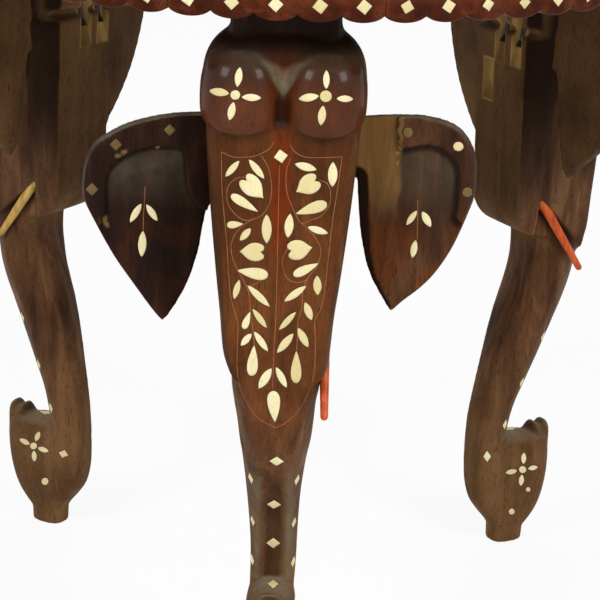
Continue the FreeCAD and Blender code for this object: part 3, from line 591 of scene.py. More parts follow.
# legs: heights above the floor, distances out from the middle of the table, all in mm
legShape = {
    "grit": 1.2,
    "firstSanding": 1,
    "sanding": 4,
    "softening": 30,
    "rowSteps": 4,
    "arcSteps": {"corner": 5, "jaw": 8, "foot": 40},
    "top": 424.0,
    "neck": ((0.0, 29.0), (44.0, 29.0), (52.0, 35.0), (72.0, 37.0)),  # down from the top, half width
    "neckFront": 197.0,
    "back": (148.0, 154.0),       # at the top, and at the step
    "backHalf": 26.0,
    "backChamfer": 16.0,
    "corner": 6.5,
    "front": 210.0,
    "crown": 0.8,
    "crownShoulder": (0.6, 0.5),  # this share of it, at this share of the half width
    "step": 204.0,
    "skull": {"out": 180.0, "height": 362.0, "radii": (43.4, 26.5, 34.5), "power": 2.7},
    "dome": {"out": 191.0, "height": 358.5, "radii": (22.1, 27.5, 28.0), "power": 2.6, "overlap": 0.4,
             "floor": 341.0, "sag": 7.0},
    # face: height, half width, set over to the right
    "face": ((347, 40.3, 0.6), (338, 39.9, 0.6), (325, 38.9, 0.5), (295, 36.3, 0.6), (262, 32.8, 0.7),
             (242, 30.4, 0.7), (222, 28.6, 1.0), (204, 25.8, 2.2), (160, 21.0, 2.2)),
    "jawRise": 11.0,
    "jawRound": 24.0,
    "jawWaste": {"below": 60.0, "beyond": 40.0, "inner": 60.0, "half": 90.0},
    "notchLength": 42.0,
    "notchRise": 38.0,
    "notchSide": 22.0,
    "notchWaste": {"lift": 0.7, "below": 50.0, "beyond": 30.0, "wide": 60.0},
    # trunk: height, half width, set over, front, depth, hollow down the front
    "trunk": ((226, 23.0, 1.0, 207.5, 33, 0.0), (204, 24.2, 1.2, 210.0, 34, 0.0),
              (192, 22.4, 1.0, 209.2, 35, 0.0), (180, 20.9, 1.6, 207.2, 36.2, 0.0),
              (168, 19.7, 1.8, 203.6, 37, 0.2), (157, 17.9, 1.7, 199.6, 37.4, 0.5),
              (142, 16.1, 1.7, 193.8, 36, 0.9), (128, 14.8, 1.8, 188.2, 33.6, 1.5),
              (112, 13.8, 2.2, 181.4, 30, 2.2), (98, 13.2, 2.5, 175.4, 26.6, 2.6),
              (84, 12.9, 2.6, 171.6, 24.8, 2.4), (66, 12.6, 2.2, 168.4, 22.6, 1.0)),
    # round the trunk: shares of the hollow and the depth behind the front, and of the half width
    "trunkRound": ((0.85, 0.0, 0.24), (0.1, 0.0, 0.5), (0.0, 0.02, 0.6), (0.0, 0.15, 0.82), (0.0, 0.31, 0.98),
                   (0.0, 0.5, 1.0), (0.0, 0.76, 0.93), (0.0, 0.95, 0.62)),
    # foot: height, heel, toe, half width, set over
    "foot": ((9, 166, 187, 8.8, 0.0), (15, 162, 193, 9.8, 0.1), (22, 156, 198, 11.2, 0.4),
             (31, 150, 201.6, 12.6, 0.8), (43, 146.8, 204.2, 13.6, 1.3), (55, 146.0, 205.2, 14.0, 1.8),
             (64, 146.0, 205.0, 13.8, 2.2), (70, 146.6, 203.0, 12.0, 2.4), (73.6, 147.6, 191.0, 9.0, 2.4),
             (76.2, 149.0, 183.0, 4.6, 2.4)),
    "footPower": 3.4,
    # the curl's lip, out and up: two points with a groove between them, drawn from side to side of the foot
    "lip": {"over": 2.2, "heel": 146.0, "toe": 205.2, "half": 13.8, "root": 66.0,
            "profile": ((189.0, 60), (205.2, 60), (205.2, 70), (204.9, 78.5), (203.8, 80.8),
                        (202.4, 80.4), (199.4, 76.2), (196.4, 79.8), (195.2, 80.4), (193.8, 78.4),
                        (191.6, 71.5)),
            # how far over, and how much lower the points are there
            "stations": ((-12.4, 13.0), (-10.6, 8.6), (-8.2, 4.4), (-5.6, 1.4), (-3.4, 0.0), (3.4, 0.0),
                         (5.6, 1.4), (8.2, 4.4), (10.6, 8.6), (12.4, 13.0))},
    "pad": ((0, 165.4, 186.8, 8.6), (1.2, 165.0, 187.2, 9.0), (12, 164.8, 187.8, 9.2),
            (17, 164.4, 188.6, 9.2)),
    "pocket": {"width": 11.0, "places": (1.0, -17.0), "low": 327.0, "top": 378.0, "depth": 12.0},
    "pocketInner": 90.0,
    "sparePocket": {"width": 11.0, "places": (13.0,), "low": 301.0, "top": 327.0, "depth": 4.5},
    "socket": {"out": 173.6, "across": 25.2, "height": 236.4, "slope": 56.0, "half": 2.9, "depth": 12.0,
               "mouth": 6.0, "sides": 16},
}


def spot(out, across, height):
    return Vector((across, -out, height)) * mm


def headBack(height):
    high, low = legShape["back"]
    share = (legShape["top"] - height) / (legShape["top"] - legShape["step"])
    return high + (low - high) * share


def headSection(height, half, over, front):
    back, corner = headBack(height), legShape["corner"]
    side = [(back, min(legShape["backHalf"], half)), (back + legShape["backChamfer"], half)]
    side.append((front - corner, half))
    steps = legShape["arcSteps"]["corner"]
    for i in range(1, steps + 1):
        way = math.radians(90 * i / steps)
        side.append((front - corner + corner * math.sin(way), half - corner + corner * math.cos(way)))
    rise, place = legShape["crownShoulder"]
    side.append((front + legShape["crown"] * rise, half * place))
    middle = [(front + legShape["crown"], 0.0)]
    ring = side + middle + [(out, -across) for out, across in reversed(side)]
    return [spot(out, across + over, height) for out, across in ring]


def trunkSection(height, half, over, front, depth, hollow):
    side = [(front - sunk * hollow - back * depth, share) for sunk, back, share in legShape["trunkRound"]]
    ring = [(front - hollow, 0.0)] + side + [(front - depth, 0.0)]
    ring += [(out, -share) for out, share in reversed(side)]
    return [spot(out, share * half + over, height) for out, share in ring]


def footSection(height, heel, toe, half, over):
    power, count = legShape["footPower"], legShape["arcSteps"]["foot"]
    ring = []
    for i in range(count):
        way = 2 * math.pi * i / count
        along, across = (math.copysign(abs(v) ** (2 / power), v) for v in (math.cos(way), math.sin(way)))
        ring.append(spot((heel + toe) / 2 + along * (toe - heel) / 2, across * half + over, height))
    return ring


def lipSection(over, lower):
    lip, power = legShape["lip"], legShape["footPower"]
    middle, long = (lip["heel"] + lip["toe"]) / 2, (lip["toe"] - lip["heel"]) / 2
    limit = middle + long * (1 - abs(over / lip["half"]) ** power) ** (1 / power)
    return [spot(min(out, limit), lip["over"] + over, height - (lower if height > lip["root"] else 0.0))
            for out, height in lip["profile"]]


def jawWaste(bm):
    waste, step, bend = legShape["jawWaste"], legShape["step"], legShape["jawRound"]
    low, middle = step - waste["below"], step + legShape["jawRise"] + bend
    back, front = headBack(middle), legShape["front"]
    inner, beyond, half = waste["inner"], front + waste["beyond"], waste["half"]
    outline = []
    steps = legShape["arcSteps"]["jaw"]
    for i in range(steps + 1):
        way = math.radians(90 * i / steps)
        outline.append((back + bend - bend * math.cos(way), middle - bend * math.sin(way)))
    outline += [(front, step), (beyond, step), (beyond, low), (inner, low), (inner, middle)]
    prism(bm, [spot(out, -half, height) for out, height in outline], (2 * half * mm, 0, 0))


def cheekWaste(bm, side):
    waste, front, rise = legShape["notchWaste"], legShape["front"], legShape["notchRise"]
    corner, beyond = front - legShape["notchLength"], front + waste["beyond"]
    start, low = legShape["step"] + waste["lift"], legShape["step"] - waste["below"]
    reach = waste["beyond"] * rise / legShape["notchLength"]
    outline = [(beyond, start - reach), (corner, start + rise), (corner, low), (beyond, low)]
    inner = side * legShape["notchSide"]
    prism(bm, [spot(out, inner, height) for out, height in outline], (side * waste["wide"] * mm, 0, 0))


def pocketWaste(bm, pocket, across):
    low, top, inner = pocket["low"], pocket["top"], legShape["pocketInner"]
    outline = [(inner, low), (headBack(low), low), (headBack(top) + pocket["depth"], top), (inner, top)]
    start = across - pocket["width"] / 2
    prism(bm, [spot(out, start, height) for out, height in outline], (pocket["width"] * mm, 0, 0))


def socketWaste(bm, side):
    socket = legShape["socket"]
    slope = math.radians(socket["slope"])
    mouth = spot(socket["out"], side * socket["across"], socket["height"])
    way = Vector((0, -math.cos(slope), -math.sin(slope)))
    tilt = Vector((0, math.sin(slope), -math.cos(slope)))
    rings = []
    for reach in (-socket["depth"] * mm, socket["mouth"] * mm):
        ring = []
        for i in range(socket["sides"]):
            turn = 2 * math.pi * i / socket["sides"]
            outward = Vector((1, 0, 0)) * math.cos(turn) + tilt * math.sin(turn)
            ring.append(mouth + way * reach + outward * socket["half"] * mm)
        rings.append(ring)
    loft(bm, rings)


# where a leg is softened: the most, then what it hangs on, none at the first value and full at the second
softZones = {
    "skullBack": (1.0, ("height", 344, 350), ("height", 422, 416), ("out", 204, 197)),
    "skullSides": (1.0, ("height", 344, 350), ("height", 422, 416), ("aside", 33, 38)),
    "jaw": (1.0, ("height", 190, 198), ("height", 232, 222), ("aside", 15, 19), ("out", 188, 178)),
    "faceEnd": (1.0, ("height", 188, 197), ("height", 220, 212), ("out", 170, 182)),
    "betweenDomes": (1.0, ("height", 334, 341), ("height", 364, 358), ("aside", 6, 3)),
}
# where its wood is warm, striped, red, glossy, dusty, darkened by painted shade, or faded
legZones = {
    "warm": (1.0, ("facing", 0.55, 0.95), ("height", 168, 215), ("height", 348, 338)),
    "amber": (1.0, ("facing", 0.6, 0.95), ("height", 158, 190), ("height", 300, 235)),
    "stripe": (1.0, ("offStripe", 8, 2), ("facing", 0.7, 0.95), ("height", 250, 300), ("height", 348, 336)),
    "dome": (1.0, ("height", 338, 345), ("height", 392, 384), ("out", 186, 196)),
    "gloss": (1.0, ("height", 338, 345), ("height", 392, 384), ("out", 186, 196), ("aside", 6, 11)),
    "valley": (1.0, ("offValley", 1.0, 0.5), ("height", 358, 364), ("overBrow", 4, 0), ("out", 214, 210),
               ("out", 190, 194)),
    "lowTrunk": (0.65, ("height", 165, 125), ("facing", 0.3, 0.75), ("offTrunk", 5.5, 9)),
    # the next six are painted shade: neck and crown under the top, the crease between the domes, the head's
    # flanks, the trunk's front hollow and the cheek notch beside the tusk
    "neck": (1.0, ("height", 370, 390), ("behind", 0.5, 0.0), ("out", 212, 205)),
    "crown": (0.62, ("height", 358, 376), ("out", 188, 194)),
    "crease": (0.75, ("height", 343, 347), ("height", 364, 358), ("aside", 6, 3), ("out", 196, 200)),
    "flank": (0.95, ("out", 172, 164), ("sideways", 0.45, 0.75), ("height", 225, 300)),
    "hollow": (0.6, ("height", 160, 120), ("offHollow", 6, 3), ("facing", 0.5, 0.9)),
    "notch": (1.0, ("underNotch", -1, 0.5), ("underNotch", 13, 3), ("sideways", 0.4, 0.8),
              ("pastNotch", 2.5, 1), ("out", 166, 172), ("out", 204, 197)),
    "back": (1.0, ("behind", 0.35, 0.85), ("height", 200, 215)),
    "foot": (0.6, ("height", 150, 80)),
}
# middles and slopes that those rows are measured from
legLines = {"stripe": 1.0, "trunk": 2.0, "hollow": 2.4, "brow": 373.0, "browSlope": 0.5,
            "valley": 360.0, "valleySlope": 0.75, "valleyLeast": 1.5}
freshCut = {"ends": 1.0, "side": 0.4, "back": 1.0, "deep": 2.0}  # how far round a pocket the wood is bare


def legReading(vertex):
    across, out, height = vertex.co.x / mm, -vertex.co.y / mm, vertex.co.z / mm
    aside = abs(across)
    valley = max(legLines["valleyLeast"], (height - legLines["valley"]) * legLines["valleySlope"])
    notch = legShape["notchRise"] * (legShape["front"] - out) / legShape["notchLength"]
    return {"across": across, "aside": aside, "out": out, "height": height,
            "facing": -vertex.normal.y, "behind": vertex.normal.y, "sideways": abs(vertex.normal.x),
            "offStripe": abs(across - legLines["stripe"]),
            "offTrunk": abs(across - legLines["trunk"]),
            "offHollow": abs(across - legLines["hollow"]),
            "offValley": aside / valley,
            "overBrow": height - legLines["brow"] - legLines["browSlope"] * aside,
            "underNotch": legShape["step"] - height + notch,
            "pastNotch": aside - legShape["notchSide"]}


def softenLeg(leg):
    # neck, skull and domes run into each other, the cheeks into the trunk, and so does the face's lower end
    softened = leg.vertex_groups.new(name="softened")
    for vertex in leg.data.vertices:
        reading = legReading(vertex)
        share = max(zone(rows, reading) for rows in softZones.values())
        softened.add([vertex.index], share, "REPLACE")
    sand(leg, legShape["softening"], "softened")


def makeLeg(name, spare):
    bm = bmesh.new()
    face, trunk, foot = (smoothRows(legShape[key], legShape["rowSteps"]) for key in ("face", "trunk", "foot"))
    loft(bm, [headSection(height, half, over, legShape["front"]) for height, half, over in face])
    head = carve(makePiece(name, bm), legShape["grit"] * mm, legShape["firstSanding"])
    wastes = [(jawWaste,)] + [(tool, side) for tool in (cheekWaste, socketWaste) for side in (1, -1)]
    for tool, *rest in wastes:
        bm = bmesh.new()
        tool(bm, *rest)
        cutAway(head, bm)
    bm = bmesh.new()
    bm.from_mesh(head.data)
    neck = [(legShape["top"] - down, half) for down, half in legShape["neck"]]
    loft(bm, [headSection(height, half, 0.0, legShape["neckFront"]) for height, half in neck])
    skull, dome = legShape["skull"], legShape["dome"]
    bulge(bm, spot(skull["out"], 0, skull["height"]), Vector(skull["radii"]) * mm, skull["power"])
    aside = dome["radii"][0] - dome["overlap"]
    for side in (1, -1):
        bulge(bm, spot(dome["out"], side * aside, dome["height"]), Vector(dome["radii"]) * mm,
              dome["power"], dome["floor"] * mm, dome["sag"] * mm)
    loft(bm, [trunkSection(*row) for row in trunk])
    loft(bm, [footSection(*row) for row in foot])
    loft(bm, [footSection(height, heel, toe, half, 0.0) for height, heel, toe, half in legShape["pad"]])
    loft(bm, [lipSection(*row) for row in legShape["lip"]["stations"]])
    bpy.data.objects.remove(head)
    leg = carve(makePiece(name, bm), legShape["grit"] * mm, legShape["sanding"])
    softenLeg(leg)
    pockets = [legShape["pocket"]] + ([legShape["sparePocket"]] if spare else [])
    for pocket in pockets:
        for across in pocket["places"]:
            bm = bmesh.new()
            pocketWaste(bm, pocket, across)
            cutAway(leg, bm)
    leg.data.shade_smooth()
    markLeg(leg.data, pockets)
    return leg


def pocketCut(pocket, across, out, height):
    deep = out - headBack(height)
    aside = min(abs(across - place) for place in pocket["places"])
    return (pocket["low"] - freshCut["ends"] < height < pocket["top"] + freshCut["ends"]
            and aside < pocket["width"] / 2 + freshCut["side"]
            and -freshCut["back"] < deep < pocket["depth"] + freshCut["deep"])


def markLeg(mesh, pockets):
    plain = ("warm", "amber", "stripe", "dome", "gloss")
    marks = {key: [] for key in plain + ("dusty", "paintedShade", "faded", "raw")}
    for vertex in mesh.vertices:
        reading = legReading(vertex)
        here = {key: zone(rows, reading) for key, rows in legZones.items()}
        for key in plain:
            marks[key].append(here[key])
        marks["dusty"].append(max(here["valley"], here["lowTrunk"]))
        # painted shade: neck and crown under the top, crease, flanks, trunk hollow and cheek notch
        top = max(here["neck"], here["crown"]) * (1.0 - here["valley"])
        marks["paintedShade"].append(max(top, here["crease"], here["flank"], here["hollow"], here["notch"]))
        marks["faded"].append(max(here["back"], here["foot"]))
        place = (reading["across"], reading["out"], reading["height"])
        marks["raw"].append(float(any(pocketCut(pocket, *place) for pocket in pockets)))
    keepMarks(mesh, marks)


legs = {"front": makeLeg("legFront", False), "rear_right": makeLeg("legRearRight", True)}
legTree = treeOf(legs["front"])
legs["rear_left"] = turnedCopy(legs["front"], "legRearLeft", legTurns["rear_left"])
legs["rear_right"].matrix_world = Matrix.Rotation(math.radians(legTurns["rear_right"]), 4, "Z")
for key, leg in legs.items():
    dress(leg, legWood, "leg_wood", "leg_" + key)
print("legs carved:", len(legs["front"].data.vertices), "points each")

# inlay: each piece is a pillowed plate of bone in a thin line of mastic
inlayCut = {"rings": (1.0, 0.82, 0.45, 0.1), "heights": (0.06 * mm, 0.2 * mm, 0.24 * mm, 0.25 * mm),
            "seam": 0.03 * mm, "sunk": 1.0 * mm, "line": 0.3 * mm}


def leafOutline(count=14, fullness=0.85):
    ring = []
    for i in range(count):
        along = -0.5 + i / count
        ring.append((along, 0.5 * (1 - (2 * along) ** 2) ** fullness))
    return ring + [(-x, -y) for x, y in ring]


def dropOutline(count=28, half=0.56, point=0.25, belly=0.85, fullness=0.8):
    ring = []
    for i in range(count):
        way = 2 * math.pi * i / count
        taper = 0.5 + 0.5 * math.cos(way)
        ring.append((-0.5 * math.cos(way), half * math.sin(way) * (point + belly * taper ** fullness)))
    return ring


def heartOutline(count=36, waves=(13, -3, -2, -1), shift=1.8, long=26.4, sharpness=1.4):
    ring = []
    for i in range(count):
        way = 2 * math.pi * i / count
        lobes = sum(wave * math.cos((k + 1) * way) for k, wave in enumerate(waves))
        ring.append((-(lobes + shift) / long, 0.5 * math.sin(way) * abs(math.sin(way)) ** sharpness))
    return ring


def lozengeOutline(shares=(0.0, 0.33, 0.67)):
    corners = [(-0.5, 0.0), (0.0, 0.5), (0.5, 0.0), (0.0, -0.5)]
    ring = []
    for (ax, ay), (bx, by) in zip(corners, corners[1:] + corners[:1]):
        ring += [(ax + (bx - ax) * t, ay + (by - ay) * t) for t in shares]
    return ring


def discOutline(count=18):
    ways = [2 * math.pi * i / count for i in range(count)]
    return [(-0.5 * math.cos(way), 0.5 * math.sin(way)) for way in ways]


# one unit long and wide; a drop is round and a heart notched at its start, both are pointed at the end
outlines = {"leaf": leafOutline(), "drop": dropOutline(), "heart": heartOutline(),
            "lozenge": lozengeOutline(), "disc": discOutline()}


def flatOutline(kind, start, end, width):
    # outline in the picture's or a surface's own plane, from the start to the end of the piece
    start, end = Vector(start), Vector(end)
    along = end - start
    across = Vector((-along.y, along.x)).normalized()
    return [start + along * (x + 0.5) + across * y * width for x, y in outlines[kind]]


def ownRay(pixel, turn):
    start, way = pixelRay(pixel)
    back = Matrix.Rotation(math.radians(-turn), 3, "Z")
    return back @ start, back @ way


def shrunk(ring, share):
    middle = sum(ring, Vector((0, 0))) / len(ring)
    return [middle + (place - middle) * share for place in ring]


def castRings(cast, ring):
    # the outline and smaller ones inside it, each laid on the surface by the cast
    rings = []
    for share in inlayCut["rings"]:
        points = [cast(place) for place in shrunk(ring, share)]
        if None in points:
            return None
        rings.append(points)
    return rings


def firstHit(tree, start, way):
    hit, normal = tree.ray_cast(start, way)[:2]
    return None if hit is None else (hit, normal)


def onPhoto(tree, ring, turn=0.0):
    return castRings(lambda place: firstHit(tree, *ownRay(place, turn)), ring)


def plate(bm, rings, heights, low):
    loops = [[bm.verts.new(p - n * low) for p, n in rings[0]]]
    for ring, height in zip(rings, heights):
        loops.append([bm.verts.new(p + n * height) for p, n in ring])
    for inner, outer in zip(loops, loops[1:]):
        for i in range(len(inner)):
            j = (i + 1) % len(inner)
            bm.faces.new((inner[i], inner[j], outer[j], outer[i]))
    bm.faces.new(loops[-1])
    bm.faces.new(loops[0][::-1])


def grown(points, by):
    middle = sum((p for p, n in points), Vector()) / len(points)
    facing = sum((n for p, n in points), Vector()).normalized()
    ring = []
    count = len(points)
    for i, (p, n) in enumerate(points):
        along = (points[(i + 1) % count][0] - points[i - 1][0]).normalized()
        outward = along.cross(facing)
        if outward.dot(p - middle) < 0:
            outward = -outward
        ring.append((p + outward * by, n))
    return ring


def layPieces(name, pieces):
    # bone and the line of mastic round it, as two pieces
    inlay, lines = bmesh.new(), bmesh.new()
    for rings in pieces:
        plate(inlay, rings, inlayCut["heights"], inlayCut["sunk"])
        seam = [grown(rings[0], inlayCut["line"])] + rings[1:]
        plate(lines, seam, [inlayCut["seam"]] * len(seam), inlayCut["sunk"])
    return makePiece(name, inlay), makePiece(name + "Mastic", lines)


# face inlay, in the photograph's pixels: kind, start, end, width (a drop and a heart end at the point)
faceInlay = (
    ("lozenge", (273.8, 157.4), (287.8, 155.2), 14.0),
    ("leaf", (225.3, 176.8), (239.3, 160.8), 6.4), ("leaf", (248.9, 159.5), (264.2, 178.7), 7.0),
    ("heart", (243.6, 177.8), (263.5, 198.4), 20.0), ("drop", (231.0, 195.0), (257.8, 211.6), 10.0),
    ("drop", (227.0, 225.2), (243.0, 224.0), 8.0), ("leaf", (250.8, 228.4), (240.0, 240.5), 7.0),
    ("leaf", (266.7, 214.4), (266.7, 243.7), 10.0), ("heart", (264.0, 252.4), (239.3, 251.4), 18.5),
    ("drop", (268.0, 275.6), (237.4, 270.5), 13.0), ("leaf", (239.3, 280.0), (234.0, 299.3), 6.4),
    ("leaf", (247.5, 285.5), (269.7, 306.7), 7.0), ("drop", (243.6, 329.0), (250.0, 312.0), 7.7),
    ("leaf", (252.6, 309.0), (266.8, 328.0), 6.0), ("leaf", (251.5, 333.6), (240.8, 345.8), 6.6),
    ("leaf", (254.0, 331.5), (267.9, 351.4), 6.6), ("drop", (251.6, 376.0), (254.0, 345.8), 12.0),
    ("leaf", (271.4, 368.3), (258.7, 388.7), 8.7), ("drop", (273.0, 391.0), (275.0, 421.8), 14.3),
    ("leaf", (294.8, 164.0), (316.5, 169.7), 8.0), ("leaf", (333.0, 162.0), (332.4, 187.0), 9.6),
    ("heart", (318.0, 179.4), (296.0, 192.0), 20.0), ("drop", (327.0, 203.6), (296.0, 213.8), 12.8),
    ("leaf", (307.6, 227.0), (328.0, 233.5), 7.0), ("leaf", (290.3, 213.8), (287.8, 238.0), 9.0),
    ("heart", (288.0, 251.4), (312.7, 247.6), 20.0), ("drop", (293.4, 275.4), (318.4, 263.5), 10.0),
    ("leaf", (317.0, 275.6), (317.8, 295.4), 8.3), ("leaf", (306.2, 286.0), (284.1, 301.6), 7.0),
    ("leaf", (305.0, 302.4), (311.7, 320.3), 7.7), ("leaf", (295.9, 312.0), (279.0, 330.0), 6.0),
    ("leaf", (298.0, 328.0), (308.2, 347.3), 7.7), ("leaf", (293.4, 333.6), (277.0, 353.0), 7.7),
    ("drop", (295.9, 383.2), (296.4, 351.4), 11.7), ("leaf", (276.0, 367.2), (286.7, 387.7), 7.0),
)
foreheadInlay = (
    ("disc", (230.4, 95.0), (240.2, 95.0), 9.6), ("leaf", (237.2, 87.0), (240.0, 67.0), 7.6),
    ("leaf", (233.6, 102.0), (229.5, 120.5), 7.6), ("leaf", (229.4, 93.6), (209.0, 90.6), 8.0),
    ("leaf", (241.6, 97.0), (261.4, 98.0), 7.2),
    ("disc", (319.8, 96.3), (331.8, 96.3), 11.6), ("leaf", (326.2, 89.2), (326.5, 70.0), 6.6),
    ("leaf", (323.2, 105.6), (320.7, 125.6), 8.0), ("leaf", (319.0, 96.0), (298.4, 99.0), 8.0),
    ("leaf", (336.6, 98.6), (353.3, 99.0), 6.6),
)
trunkInlay = (
    ("lozenge", (269.4, 461.0), (284.0, 461.6), 9.0), ("lozenge", (267.0, 504.2), (281.0, 504.8), 8.4),
    ("lozenge", (266.4, 543.0), (280.2, 543.2), 10.4), ("lozenge", (267.6, 583.7), (278.6, 583.9), 9.0),
)
trunkSides = {"heights": (143.5, 113.0, 85.0), "turn": 40.0, "long": 7.2, "wide": 4.8, "out": 120.0,
              "lean": 0.38, "over": 2.2, "stand": 100.0}
footInlay = {
    "rear_right": (("disc", (519.0, 469.6), (526.2, 469.6), 7.0),
                   ("leaf", (523.4, 464.0), (524.0, 452.6), 5.0),
                   ("leaf", (522.2, 474.6), (520.6, 486.0), 5.0),
                   ("leaf", (517.0, 470.6), (505.6, 473.0), 5.0),
                   ("leaf", (528.0, 468.8), (537.8, 467.0), 4.6),
                   ("lozenge", (487.0, 450.8), (487.2, 462.0), 8.0),
                   ("disc", (508.8, 511.7), (514.6, 511.7), 6.0),
                   ("disc", (525.8, 489.5), (530.4, 489.5), 4.6)),
    "rear_left": (("disc", (30.2, 446.0), (37.0, 446.0), 6.8),
                  ("leaf", (35.6, 441.4), (39.4, 431.6), 5.0),
                  ("leaf", (37.8, 447.6), (48.6, 451.6), 5.0),
                  ("leaf", (33.8, 450.6), (34.6, 461.6), 5.0),
                  ("leaf", (29.8, 444.4), (19.4, 438.8), 5.0),
                  ("lozenge", (58.8, 452.4), (68.2, 455.4), 8.0),
                  ("disc", (41.6, 481.4), (48.4, 481.4), 7.0)),
}
# scribed lines on the face, in the photograph's pixels
faceLines = (
    ((221.5, 152), (221.6, 174), (222.4, 196), (226.6, 241), (229, 279), (231, 298), (236.4, 318),
     (238, 326), (237.2, 351), (237.8, 377), (244, 397), (257, 417), (275.5, 428)),
    ((342, 157), (337.5, 190), (332.4, 222), (326.7, 273), (322, 305), (315.4, 319), (314.8, 326),
     (315.3, 351), (313.3, 377), (302, 405.5), (286.7, 422), (275.5, 428)),
    ((222, 152), (231, 156.4), (241, 157.4), (256, 155.6), (269, 149), (274, 142)),
    ((290, 145), (295, 152), (305, 157), (322, 157.6), (342, 157)),
    ((279.5, 165), (278.6, 200), (277.6, 250), (275.7, 320), (273.6, 360), (272.4, 388)),
    ((261.6, 156), (268.4, 168), (271.6, 186), (270, 202), (263, 214), (254, 219), (244, 220), (235, 214),
     (228.6, 205), (226.6, 194), (229, 185), (237, 178), (245, 177.4)),
    ((252, 219.6), (241, 227), (233.6, 237), (231, 249), (234, 262), (241, 276), (248, 290), (250, 304),
     (250.6, 316), (253, 330), (254.6, 346)),
    ((290.6, 158), (286.4, 172), (286.6, 190), (291, 204), (300.6, 222.6), (310, 220.4), (321, 216),
     (329, 205.6), (330.6, 194), (327.6, 184), (319, 180)),
    ((300.6, 222.6), (311, 232), (319, 244), (320.6, 254), (316, 268), (309, 276), (303, 290), (302, 306),
     (298, 322), (297.4, 338), (296.6, 351)),
    ((290, 245), (283.6, 256), (283, 268), (288, 279), (298, 282.6), (308, 280)),
    ((262, 280), (255, 284), (248, 286)),
)

legInlayRows = {"faceInlay": faceInlay, "foreheadFlowers": foreheadInlay, "trunkDiamonds": trunkInlay}
cadNames = {"faceInlay": "face_inlay_", "foreheadFlowers": "forehead_flowers_",
            "trunkDiamonds": "trunk_diamonds_", "footInlay": "foot_inlay_"}


def sideDiamonds():
    pieces = []
    turn = math.radians(trunkSides["turn"])
    size = Vector((trunkSides["wide"], trunkSides["long"]))
    for height in trunkSides["heights"]:
        for side in (1, -1):
            way = Vector((-side * math.sin(turn), math.cos(turn), 0))
            across = Vector((math.cos(turn), side * math.sin(turn), 0))
            out = trunkSides["out"] + trunkSides["lean"] * height
            aim = spot(out, trunkSides["over"], height) - way * trunkSides["stand"] * mm

            def cast(place):
                start = aim + across * place.x * mm + Vector((0, 0, place.y * mm))
                return firstHit(legTree, start, way)

            pieces.append(castRings(cast, [Vector(place) * size for place in outlines["lozenge"]]))
    return [rings for rings in pieces if rings]


def photoPieces(tree, rows, turn=0.0):
    rings = [onPhoto(tree, flatOutline(*row), turn) for row in rows]
    return [ring for ring in rings if ring]


def layLegInlay():
    made = {}
    for name, rows in legInlayRows.items():
        rings = photoPieces(legTree, rows)
        if name == "trunkDiamonds":
            rings += sideDiamonds()
        made[name] = layPieces(name, rings)
    feet = []
    for key, rows in footInlay.items():
        feet += photoPieces(legTree, rows, legTurns[key])
    made["footInlay"] = layPieces("footInlay", feet)
    return made


def scribe(name, lines):
    data = bpy.data.curves.new(name, "CURVE")
    data.dimensions = "3D"
    data.bevel_depth = scribedLine["half"]
    data.bevel_resolution = 1
    data.use_fill_caps = True
    for line in lines:
        stroke = data.splines.new("POLY")
        stroke.points.add(len(line) - 1)
        for point, place in zip(stroke.points, line):
            point.co = (*place, 1.0)
    path = bpy.data.objects.new(name + "Path", data)
    scene.collection.objects.link(path)
    line = bpy.data.objects.new(name, bpy.data.meshes.new_from_object(path.evaluated_get(settledScene())))
    scene.collection.objects.link(line)
    bpy.data.objects.remove(path)
    return line


def lineOnPhoto(tree, points):
    line = []
    lift = scribedLine["proud"] - scribedLine["half"] * scribedLine["sunk"]
    for place in catmull(points, scribedLine["steps"]):
        found = firstHit(tree, *pixelRay(place))
        if found:
            hit, normal = found
            line.append(hit + normal * lift)
    return line


legInlay = layLegInlay()
faceScribe = scribe("faceLines", [lineOnPhoto(legTree, points) for points in faceLines])
for key, turn in legTurns.items():
    for name, (plates, seams) in legInlay.items():
        shown = plates if key == "front" else turnedCopy(plates, name + "_" + key, turn)
        seam = seams if key == "front" else turnedCopy(seams, name + "Mastic_" + key, turn)
        dress(shown, bone, "bone", cadNames[name] + key)
        dress(seam, mastic, "leg_wood")
    lines = faceScribe if key == "front" else turnedCopy(faceScribe, "faceLines_" + key, turn)
    dress(lines, scribed, "leg_wood")
print("leg inlay laid:", sum(len(rows) for rows in legInlayRows.values()), "pieces seen from the front")

